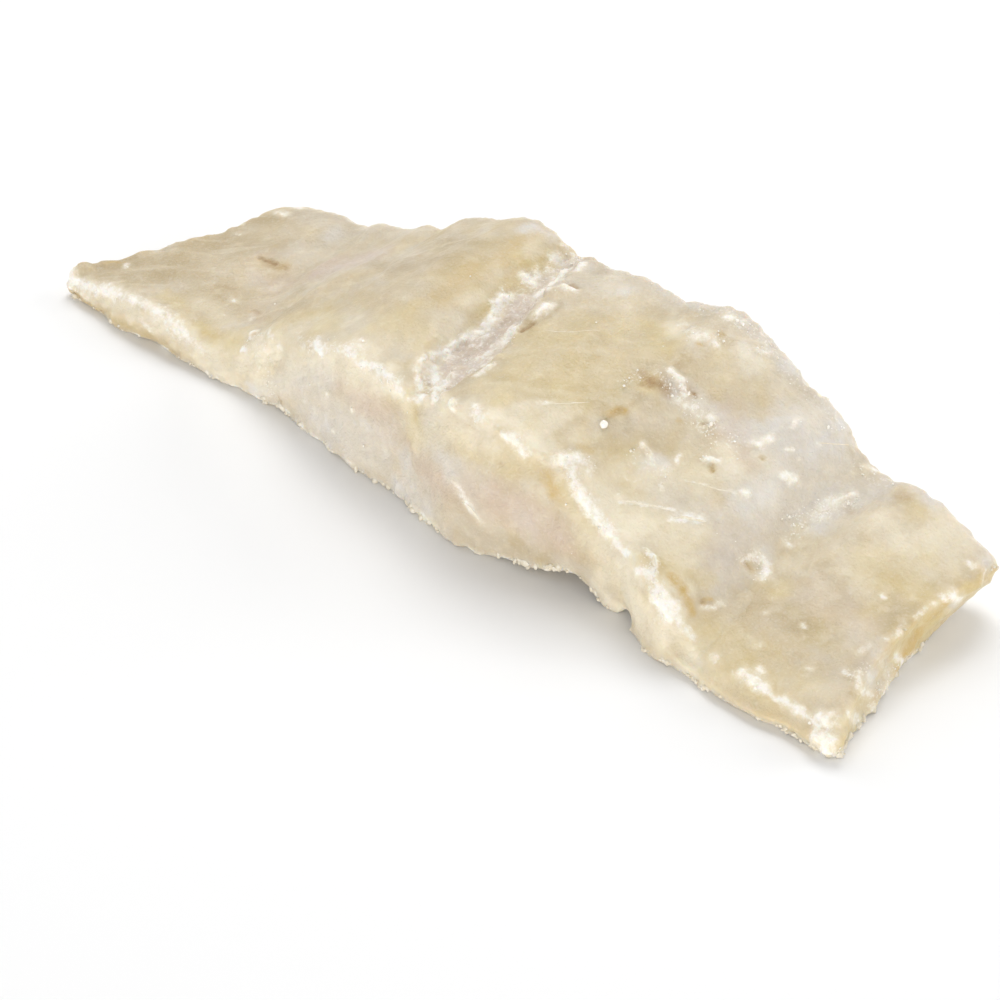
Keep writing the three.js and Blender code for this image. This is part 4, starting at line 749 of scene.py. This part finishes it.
# The far face and the underside have patches of the same tones: how much of each lies evenly, how
# much in patches, and the patches' size and drift.
HIDDEN_PATCHES = (
    ("haze", 0.45, 0.5, 14, 51),
    ("rose", 0.2, 0.6, 11, 59),
    ("cream", 0.15, 0.7, 10, 53),
    ("straw", 0.2, 0.7, 12, 57),
    ("tan", 0.25, 0.6, 16, 55),
)
for name, evenly, patchy, size, drift in HIDDEN_PATCHES:
    masks[name] += hidden * np.clip(evenly + patchy * waves(points, size, drift), 0, 1)
masks["straw"] += facing["end"] * (0.9 - 0.8 * np.clip(masks["haze"], 0, 1))
masks["amber"] += facing["end"] * np.clip(0.6 * waves(points, 6, 61), 0, 0.4)
masks["haze"] += 0.25 * in_crevice + 0.35 * foot + 0.4 * far_crest
masks["rose"] += 0.8 * in_crevice
masks["frost_and_sheen"] += in_crevice * (0.1 + 0.4 * eased(crevice_lumps, 0, 0.6)) + 0.5 * rim_lumps
masks["frost_and_sheen"] += crumbly * eased(waves(points, 2.6, 73), 0.1, 0.5) * (0.3 - 0.2 * far_crest)
masks["streak"] = 0.5 + 0.5 * streak * np.clip(unevenness, 0, 1)
for name, mask in masks.items():
    stored = flesh.data.attributes.new(name, "FLOAT", "POINT")
    stored.data.foreach_set("value", np.clip(mask, 0, 1).astype(np.float32))


def tone(red, green, blue):
    """A shader colour from the bytes that a colour picker shows."""
    linear = [((c / 255 + 0.055) / 1.055) ** 2.4 for c in (red, green, blue)]
    return (*linear, 1)


def add(tree, kind, inputs=None, **settings):
    """A node with its settings. Each of its inputs is given as a value or as the socket to link."""
    made = tree.nodes.new("ShaderNode" + kind)
    for name, value in settings.items():
        setattr(made, name, value)
    for name, value in (inputs or {}).items():
        if isinstance(value, bpy.types.NodeSocket):
            tree.links.new(value, made.inputs[name])
        else:
            made.inputs[name].default_value = value
    return made


def blended(tree, share, under, over):
    """One colour laid over another by a share."""
    mixed = add(tree, "Mix", {0: share, 6: under, 7: over}, data_type="RGBA")
    return mixed.outputs[2]


def ramped(tree, value, low, high, bottom=0.0, top=1.0):
    """A value stretched from one range to another, easing at both ends."""
    stretch = {"Value": value, "From Min": low, "From Max": high, "To Min": bottom, "To Max": top}
    return add(tree, "MapRange", stretch, interpolation_type="SMOOTHSTEP").outputs["Result"]


def maths(tree, operation, first, second):
    """Two values worked into one."""
    return add(tree, "Math", {0: first, 1: second}, operation=operation).outputs[0]


def noise(tree, place, wave, detail=2.0, roughness=0.5):
    """Noise with waves of one length in mm."""
    settings = {"Vector": place, "Scale": 1 / (wave * MM), "Detail": detail, "Roughness": roughness}
    return add(tree, "TexNoise", settings).outputs["Fac"]


def node_group(name, inputs, outputs):
    """An empty shader node group with named sockets, and its two end nodes."""
    group = bpy.data.node_groups.new(name, "ShaderNodeTree")
    for label, kind in inputs:
        group.interface.new_socket(label, in_out="INPUT", socket_type="NodeSocket" + kind)
    for label, kind in outputs:
        group.interface.new_socket(label, in_out="OUTPUT", socket_type="NodeSocket" + kind)
    return group, group.nodes.new("NodeGroupInput"), group.nodes.new("NodeGroupOutput")


# Waxy grain: soft mottling at three scales, a fine one, and the small bumps of moist flesh.
waxy_grain, grain_in, grain_out = node_group(
    "waxy grain",
    [("Place", "Vector")],
    [(label, "Float") for label in ("Broad", "Mottle", "Veil", "Fine", "Height")],
)
place = grain_in.outputs["Place"]
shifted = add(waxy_grain, "VectorMath", {0: place, 1: (0.5, 0.3, 0.7)}, operation="ADD").outputs[0]
fine_height = maths(waxy_grain, "MULTIPLY", noise(waxy_grain, place, 0.45, 3), 0.5)
for label, socket in (
    ("Broad", noise(waxy_grain, place, 9)),
    ("Mottle", noise(waxy_grain, place, 6, 3)),
    ("Veil", noise(waxy_grain, shifted, 2.8)),
    ("Fine", noise(waxy_grain, place, 0.9, 4, 0.65)),
    ("Height", maths(waxy_grain, "ADD", fine_height, noise(waxy_grain, place, 1.7, 2))),
):
    waxy_grain.links.new(socket, grain_out.inputs[label])

# Salt frost and painted sheen: a white bloom that thins out into crumbs and specks where its share falls. On
# the crests this white paints sheen highlights.
salt_frost_and_sheen, frost_and_sheen_in, frost_and_sheen_out = node_group(
    "salt frost", [("Place", "Vector"), ("Share", "Float")], [("Cover", "Float"), ("Specks", "Float")]
)
place = frost_and_sheen_in.outputs["Place"]
crumb_noise = maths(salt_frost_and_sheen, "MULTIPLY", noise(salt_frost_and_sheen, place, 1.2, 5, 0.7), 2.6)
frost_and_sheen_level = maths(salt_frost_and_sheen, "ADD", crumb_noise, frost_and_sheen_in.outputs["Share"])
near_frost_and_sheen = ramped(salt_frost_and_sheen, frost_and_sheen_in.outputs["Share"], 0.02, 0.25)
frost_and_sheen_cover = maths(salt_frost_and_sheen, "MULTIPLY", ramped(salt_frost_and_sheen, frost_and_sheen_level, 1.35, 2.5), near_frost_and_sheen)
salt_frost_and_sheen.links.new(frost_and_sheen_cover, frost_and_sheen_out.inputs["Cover"])
specks = ramped(salt_frost_and_sheen, noise(salt_frost_and_sheen, place, 0.5, 2), 0.56, 0.66)
salt_frost_and_sheen.links.new(specks, frost_and_sheen_out.inputs["Specks"])

FLESH_BASE = tone(206, 190, 159)
# The tan of the flesh, which along the near foot by the arch also paints shade.
TAN_AND_SHADE = tone(180, 161, 124)
ROSE = tone(204, 185, 168)
HAZE = tone(218, 213, 206)
STRAW = tone(210, 191, 142)
CREAM = tone(240, 231, 209)
GOLD = tone(212, 193, 151)
GREY = tone(204, 192, 170)
AMBER = tone(201, 173, 114)
STAIN = tone(168, 136, 91)
# The white of the frost. On the crests it also paints the sheen highlights.
FROST_AND_SHEEN = tone(249, 246, 239)

salted_flesh = bpy.data.materials.new("salted_flesh")
salted_flesh.use_nodes = True
tree = salted_flesh.node_tree
tree.nodes.clear()
place = add(tree, "TexCoord").outputs["Object"]
shares = {name: add(tree, "Attribute", attribute_name=name).outputs["Fac"] for name in masks}
grain = add(tree, "Group", {"Place": place}, node_tree=waxy_grain).outputs
frost_and_sheen = add(tree, "Group", {"Place": place, "Share": shares["frost_and_sheen"]}, node_tree=salt_frost_and_sheen).outputs
# The grain shifts the base colour one way above its middle value and another way below it.
colour = FLESH_BASE
for pattern, full_at, most, other_colour in (
    ("Broad", 0.3, 0.25, TAN_AND_SHADE),
    ("Broad", 0.7, 0.3, HAZE),
    ("Mottle", 0.68, 0.5, GOLD),
    ("Mottle", 0.32, 0.5, GREY),
):
    colour = blended(tree, ramped(tree, grain[pattern], 0.5, full_at, 0, most), colour, other_colour)


def layered(under, pattern, weakest, strongest, name, over):
    """A colour with one of the stored tones laid over it, patchy after a grain pattern."""
    patchy = ramped(tree, grain[pattern], 0.3, 0.7, weakest, strongest)
    return blended(tree, maths(tree, "MULTIPLY", shares[name], patchy), under, over)


for name, tone_colour, strength in (
    ("tan", TAN_AND_SHADE, 0.9),
    ("rose", ROSE, 0.9),
    ("haze", HAZE, 1),
    ("straw", STRAW, 0.95),
    ("cream", CREAM, 0.9),
):
    colour = layered(colour, "Mottle", 0.75 * strength, 1.15 * strength, name, tone_colour)
FADE = 0.24
for pattern, light_from, light, dark in (
    (grain["Veil"], 0.5, 0.2, 0.11),
    (shares["streak"], 0.53, 0.22, 0.1),
    (grain["Fine"], 0.52, 0.18, 0.12),
):
    colour = blended(tree, ramped(tree, pattern, light_from, light_from + FADE, 0, light), colour, CREAM)
    dark_from = 1 - light_from
    colour = blended(tree, ramped(tree, pattern, dark_from, dark_from - FADE, 0, dark), colour, TAN_AND_SHADE)
for name, tone_colour in (("amber", AMBER), ("stain", STAIN)):
    colour = layered(colour, "Fine", 0.6, 1.1, name, tone_colour)
# How fully the frost white, with its painted sheen, covers the flesh.
FROST_AND_SHEEN_COVER = 0.88
colour = blended(tree, maths(tree, "MULTIPLY", frost_and_sheen["Cover"], FROST_AND_SHEEN_COVER), colour, FROST_AND_SHEEN)
speck_share = ramped(tree, shares["grains"], 0, 1, 0.08, 0.45)
colour = blended(tree, maths(tree, "MULTIPLY", frost_and_sheen["Specks"], speck_share), colour, FROST_AND_SHEEN)
bump = add(tree, "Bump", {"Height": grain["Height"], "Strength": 0.8, "Distance": 0.5 * MM})
shader = add(
    tree,
    "BsdfPrincipled",
    {
        "Base Color": colour,
        "Roughness": ramped(tree, grain["Fine"], 0.3, 0.7, 0.36, 0.55),
        "Normal": bump.outputs["Normal"],
        "Subsurface Weight": 0.5,
        "Subsurface Radius": (1.0, 0.72, 0.42),
        "Subsurface Scale": 2.0 * MM,
        "Specular IOR Level": 0.42,
        "Coat Weight": 0.1,
        "Coat Roughness": 0.3,
    },
)
add(tree, "OutputMaterial", {"Surface": shader.outputs["BSDF"]})
flesh.data.materials.clear()
flesh.data.materials.append(salted_flesh)
flesh.data.polygons.foreach_set("use_smooth", np.ones(len(flesh.data.polygons), bool))
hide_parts("cod_loin")
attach(flesh, "root")

# Frost crumbs. Salt and ice have grown into small white lumps that stick to the flesh along the
# near ridge and round the crevice. Each is a rounded, uneven grain, partly sunk in.
settled = mesh_points(flesh.data)
settled_normals = per_point(flesh.data, "normal")


def rounded_grain(subdivisions):
    """The points and faces of a ball with a radius of one."""
    grain_mesh = bmesh.new()
    bmesh.ops.create_icosphere(grain_mesh, subdivisions=subdivisions, radius=1)
    corners = np.array([vertex.co for vertex in grain_mesh.verts])
    faces = np.array([[vertex.index for vertex in face.verts] for face in grain_mesh.faces])
    grain_mesh.free()
    return corners, faces


def turned(dice, count):
    """Random turns, one 3 by 3 matrix each."""
    turns, _ = np.linalg.qr(dice.normal(size=(count, 3, 3)))
    return turns * np.sign(np.linalg.det(turns))[:, None, None]


def small_piece(name, places, faces):
    """A new piece from places in mm and faces."""
    mesh = bpy.data.meshes.new(name)
    mesh.from_pydata([(0, 0, 0)] * len(places), [], faces)
    set_points(mesh, places)
    piece = bpy.data.objects.new(name, mesh)
    bpy.context.scene.collection.objects.link(piece)
    return piece


def scattered(name, shape, centres, radii, stretch, unevenness, dice):
    """One joined mesh of many grains, each stretched, made uneven and turned in its own way."""
    corners, faces = shape
    count = len(centres)
    grains = corners[None] * (1 + unevenness * dice.uniform(-1, 1, (count, len(corners), 1)))
    grains = grains * stretch * dice.uniform(0.75, 1.25, (count, 1, 3))
    grains = np.einsum("nij,nkj->nki", turned(dice, count), grains)
    grains = grains * radii[:, None, None] + centres[:, None]
    all_faces = faces[None] + (np.arange(count) * len(corners))[:, None, None]
    return small_piece(name, grains.reshape(-1, 3), all_faces.reshape(-1, faces.shape[1]).tolist())


def strewn(name, shape, chances, count, sizes, sunk, stretch, unevenness, dice):
    """Many grains of one kind, placed by chance and sunk in the flesh by a share of their size.

    The sizes are the middle one, how far they spread, the least and the most.
    """
    chances = np.clip(chances, 0, None)
    chosen = dice.choice(len(settled), size=count, replace=False, p=chances / chances.sum())
    centres = settled[chosen] + dice.uniform(-0.25, 0.25, (count, 3))
    middle, spread, least, most = sizes
    radii = np.clip(dice.lognormal(math.log(middle), spread, count), least, most)
    centres -= settled_normals[chosen] * (radii * sunk)[:, None]
    return scattered(name, shape, centres, radii, stretch, unevenness, dice)


CRUMB_COUNT = 650
CRUMB_SIZES = (0.16, 0.4, 0.09, 0.38)
CRUMB_SUNK = 0.45
CRUMB_STRETCH = (1.15, 0.9, 0.75)
showing = 1 - np.clip(facing["under"] * 3, 0, 1)
clumps = eased(waves(points, 2.6, 83), -0.15, 0.5)
crumb_chances = 0.5 * np.clip(masks["frost_and_sheen"] - 0.4, 0, 1) + masks["grains"] * (1 - 0.85 * in_crevice)
crumb_chances = (crumb_chances + 0.2 * crevice_rims) * (0.1 + clumps) * showing
frost_crumbs = strewn(
    "frost_crumbs", rounded_grain(1), crumb_chances, CRUMB_COUNT,
    CRUMB_SIZES, CRUMB_SUNK, CRUMB_STRETCH, 0.16, np.random.default_rng(11),
)


def grain_material(name, colour, other_colour, roughness, coat):
    """A material for small grains: two tones that shift from grain to grain, over a bumpy skin."""
    material = bpy.data.materials.new(name)
    material.use_nodes = True
    tree = material.node_tree
    tree.nodes.clear()
    place = add(tree, "TexCoord").outputs["Object"]
    grain = add(tree, "Group", {"Place": place}, node_tree=waxy_grain).outputs
    bump = add(tree, "Bump", {"Height": grain["Height"], "Strength": 0.2, "Distance": 0.1 * MM})
    shader = add(
        tree,
        "BsdfPrincipled",
        {
            "Base Color": blended(tree, ramped(tree, grain["Fine"], 0.35, 0.65), colour, other_colour),
            "Roughness": roughness,
            "Normal": bump.outputs["Normal"],
            "Coat Weight": coat,
            "Coat Roughness": 0.15,
        },
    )
    add(tree, "OutputMaterial", {"Surface": shader.outputs["BSDF"]})
    return material


def finished(piece, material, smooth):
    """Gives a small piece its material, and fixes it to the loin."""
    piece.data.materials.append(material)
    piece.data.polygons.foreach_set("use_smooth", np.full(len(piece.data.polygons), smooth))
    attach(piece, "root")


frost_white = grain_material("frost_white", FROST_AND_SHEEN, tone(240, 232, 216), 0.5, 0.0)
finished(frost_crumbs, frost_white, True)

# Flesh crumbs. Where the soft flesh meets the table it has broken into small pale crumbs. They
# cling along the foot, half sunk in it, and a few sit on the end cuts.
FLESH_CRUMB_COUNT = 300
FLESH_CRUMB_SIZES = (0.5, 0.45, 0.2, 1.2)
FLESH_CRUMB_SUNK = 0.6
FLESH_CRUMB_STRETCH = (1.3, 0.9, 0.7)
# They are thickest where the foot stands off the table, and few along the thin left flap.
low_edge = (z > 0.05) * (1 - eased(np.abs(z - foot_height), 0.3, 1.4)) * showing
low_edge *= 1 + 2 * (foot_height > 0.3)
low_edge *= (1 - 0.7 * facing["far"]) * along(x, [(-70, 0.15), (-45, 1)])
flesh_crumbs = strewn(
    "flesh_crumbs", rounded_grain(1), (low_edge + 0.005 * facing["end"]) * (0.1 + clumps), FLESH_CRUMB_COUNT,
    FLESH_CRUMB_SIZES, FLESH_CRUMB_SUNK, FLESH_CRUMB_STRETCH, 0.2, np.random.default_rng(13),
)
crumb_flesh = grain_material("crumb_flesh", tone(230, 223, 208), tone(218, 206, 180), 0.4, 0.15)
finished(flesh_crumbs, crumb_flesh, True)

# Salt crystals. Loose grains of cooking salt, small glassy cubes that are none quite square, stick
# to the moist flesh. They gather in the crevice, on the frost and beside the brown mark near the
# middle of the top. One large rounded crystal lies a little nearer than the mark.
CRYSTAL_COUNT = 110
CRYSTAL_SIDES = (0.2, 0.3, 0.12, 0.42)
CRYSTAL_SUNK = 0.1
BROWN_MARK = (33.5, 2.5)
crystal_dice = np.random.default_rng(17)
cube = np.array([(i, j, k) for i in (-1, 1) for j in (-1, 1) for k in (-1, 1)]) / 2
cube_faces = np.array([(0, 1, 3, 2), (4, 6, 7, 5), (0, 4, 5, 1), (2, 3, 7, 6), (0, 2, 6, 4), (1, 5, 7, 3)])
by_mark = np.exp(-((x - BROWN_MARK[0]) ** 2 + (y - BROWN_MARK[1]) ** 2) / 4) * facing["top"]
crystal_chances = 0.01 * (facing["top"] + facing["near"]) + 0.12 * in_crevice + 0.6 * by_mark
crystal_chances = (crystal_chances + 0.2 * masks["frost_and_sheen"]) * showing
salt_crystals = strewn(
    "salt_crystals", (cube, cube_faces), crystal_chances, CRYSTAL_COUNT,
    CRYSTAL_SIDES, CRYSTAL_SUNK, (1, 1, 1), 0.06, crystal_dice,
)
salt_glass = grain_material("salt_glass", tone(248, 245, 240), tone(240, 232, 216), 0.3, 0.3)
finished(salt_crystals, salt_glass, False)
BIG_CRYSTAL = (31.9, -9.9, 26.9)
BIG_CRYSTAL_RADIUS = 0.9
big_crystal = scattered(
    "big_salt_crystal", rounded_grain(2), np.array([BIG_CRYSTAL]), np.array([BIG_CRYSTAL_RADIUS]),
    (1, 0.75, 0.9), 0.1, crystal_dice,
)
finished(big_crystal, salt_glass, False)

# Sinew threads. Thin white strands of connecting tissue lie on the cut muscle. Each is a flat
# strip, thickest in its middle, half sunk in the flesh.
# Half the width of each strand, and the points that it passes through.
THREADS = [
    (0.34, [(40.6, -16.2, 18.5), (42.5, -14.9, 18.3), (44.9, -13.2, 18), (49.4, -10.7, 17.7)]),
    (0.4, [(50.2, -11.9, 17.3), (51.7, -10.4, 17.3), (54.2, -9.4, 17.4), (55.2, -8.9, 17.5)]),
    (0.2, [(47.3, -5.4, 20.3), (49.6, -4.4, 20.3), (52.8, -3.3, 20.2), (55.4, -1.7, 19.9)]),
    (0.3, [(51.1, -19.9, 15.3), (53.3, -20.1, 14.8), (54.5, -21, 14.3), (55.5, -22.6, 13.6)]),
    (0.42, [(15.3, -27.3, 10.5), (16.3, -27.3, 9.9), (17.5, -27.3, 9.2), (18.8, -27.3, 8.3)]),
    (0.16, [(58.2, 16.9, 22.3), (59.8, 19.6, 21.5), (61.2, 24.2, 19.2)]),
    (0.16, [(22.5, -13.6, 28.5), (25, -11.2, 28.7), (27.4, -8.6, 28.8)]),
    (0.14, [(7.8, -0.7, 30.8), (13, 1.6, 31.8), (17.1, 5, 32.2)]),
]
THREAD_SIDES = 8
THREAD_FLATNESS = 0.35
THREAD_STEP = 0.35
THREAD_WANDER = 0.12
surface = BVHTree.FromPolygons(settled.tolist(), [tuple(face.vertices) for face in flesh.data.polygons])
thread_dice = np.random.default_rng(19)
thread_points = []
thread_faces = []
for half_width, way in THREADS:
    way = np.array(way)
    lengths = np.concatenate([[0], np.cumsum(np.linalg.norm(np.diff(way, axis=0), axis=1))])
    count = max(int(lengths[-1] / THREAD_STEP), 4)
    run = np.linspace(0, lengths[-1], count)
    spine = np.stack([np.interp(run, lengths, way[:, axis]) for axis in range(3)], axis=1)
    spine += THREAD_WANDER * np.stack([waves(spine, 1.8, 91), waves(spine, 1.8, 93), spine[:, 0] * 0], axis=1)
    for step, spot in enumerate(spine):
        centre, up, _, _ = surface.find_nearest(Vector(spot))
        ahead = Vector(spine[min(step + 1, count - 1)] - spine[max(step - 1, 0)]).normalized()
        aside = up.cross(ahead).normalized()
        taper = max(math.sin(math.pi * (step + 0.15) / (count - 0.7)), 0.05) ** 0.6
        width = 0.75 * half_width * taper * thread_dice.uniform(0.6, 1.2)
        for side in range(THREAD_SIDES):
            angle = math.tau * side / THREAD_SIDES
            lift = THREAD_FLATNESS * width * (math.sin(angle) - 0.2)
            thread_points.append(centre + aside * width * math.cos(angle) + up * lift)
    first = len(thread_points) - count * THREAD_SIDES
    last = len(thread_points) - THREAD_SIDES
    for ring in range(first, last, THREAD_SIDES):
        for side in range(THREAD_SIDES):
            a = ring + side
            b = ring + (side + 1) % THREAD_SIDES
            thread_faces.append((a, b, b + THREAD_SIDES, a + THREAD_SIDES))
    thread_faces.append(tuple(reversed(range(first, first + THREAD_SIDES))))
    thread_faces.append(tuple(range(last, last + THREAD_SIDES)))
sinew_threads = small_piece("sinew_threads", np.array(thread_points), thread_faces)
sinew = grain_material("sinew", tone(240, 232, 214), tone(228, 216, 190), 0.45, 0.1)
finished(sinew_threads, sinew, True)

# The table and the light. A plain white sheet of card. White walls light the loin from all round,
# three soft lamps stand behind it and to its left, and two low strips fill in from the front.
HALF_FLOOR = 4
floor_mesh = bpy.data.meshes.new("floor")
floor_corners = [(i * HALF_FLOOR, j * HALF_FLOOR, 0) for i, j in ((-1, -1), (1, -1), (1, 1), (-1, 1))]
floor_mesh.from_pydata(floor_corners, [], [(0, 1, 2, 3)])
floor = bpy.data.objects.new("floor", floor_mesh)
bpy.context.scene.collection.objects.link(floor)
CARD_WHITE = (0.93, 0.93, 0.93, 1)
card = bpy.data.materials.new("white_card")
card.use_nodes = True
card_shader = card.node_tree.nodes["Principled BSDF"]
card_shader.inputs["Base Color"].default_value = CARD_WHITE
card_shader.inputs["Roughness"].default_value = 0.9
card_shader.inputs["Specular IOR Level"].default_value = 0.1
floor_mesh.materials.append(card)

WORLD_STRENGTH = 0.432
world = bpy.data.worlds.new("white room")
world.use_nodes = True
walls = world.node_tree.nodes["Background"]
walls.inputs["Color"].default_value = (1, 1, 1, 1)
walls.inputs["Strength"].default_value = WORLD_STRENGTH
bpy.context.scene.world = world


def soft_lamp(name, spot, width, height, power):
    """A soft box, its place and sides in metres, that points at the loin."""
    light = bpy.data.lights.new(name, "AREA")
    light.shape = "RECTANGLE"
    light.size = width
    light.size_y = height
    light.energy = power
    lamp = bpy.data.objects.new(name, light)
    lamp.location = spot
    lamp.rotation_euler = Vector(spot).to_track_quat("Z", "Y").to_euler()
    bpy.context.scene.collection.objects.link(lamp)


SQUARE_BOX = (1.1, 1.1)
STRIP_BOX = (1.8, 0.4)
soft_lamp("high back lamp", (-0.55, 0.85, 1.6), *SQUARE_BOX, 18.2)
soft_lamp("low back lamp", (0.9, 1.4, 0.6), *SQUARE_BOX, 12.5)
soft_lamp("left lamp", (-1.5, 0.3, 1.0), *SQUARE_BOX, 7.4)
soft_lamp("front strip", (0.6, -1.9, 0.22), *STRIP_BOX, 20.6)
soft_lamp("right strip", (1.7, -1.0, 0.22), *STRIP_BOX, 6.7)

# The camera stands where the photograph was taken from, in front of the right end and above it.
VIEW_AZIMUTH = math.radians(44.23)
VIEW_ELEVATION = math.radians(37)
VIEW_DISTANCE = 620 * MM
VIEW_TARGET = Vector((9.29, -12.51, 0)) * MM
LENS = 122.8
back = Vector((
    math.sin(VIEW_AZIMUTH) * math.cos(VIEW_ELEVATION),
    -math.cos(VIEW_AZIMUTH) * math.cos(VIEW_ELEVATION),
    math.sin(VIEW_ELEVATION),
))
camera_data = bpy.data.cameras.new("camera")
camera_data.lens = LENS
camera = bpy.data.objects.new("camera", camera_data)
camera.location = VIEW_TARGET + back * VIEW_DISTANCE
camera.rotation_euler = back.to_track_quat("Z", "Y").to_euler()
bpy.context.scene.collection.objects.link(camera)
bpy.context.scene.camera = camera
bpy.context.scene.view_settings.view_transform = "Standard"
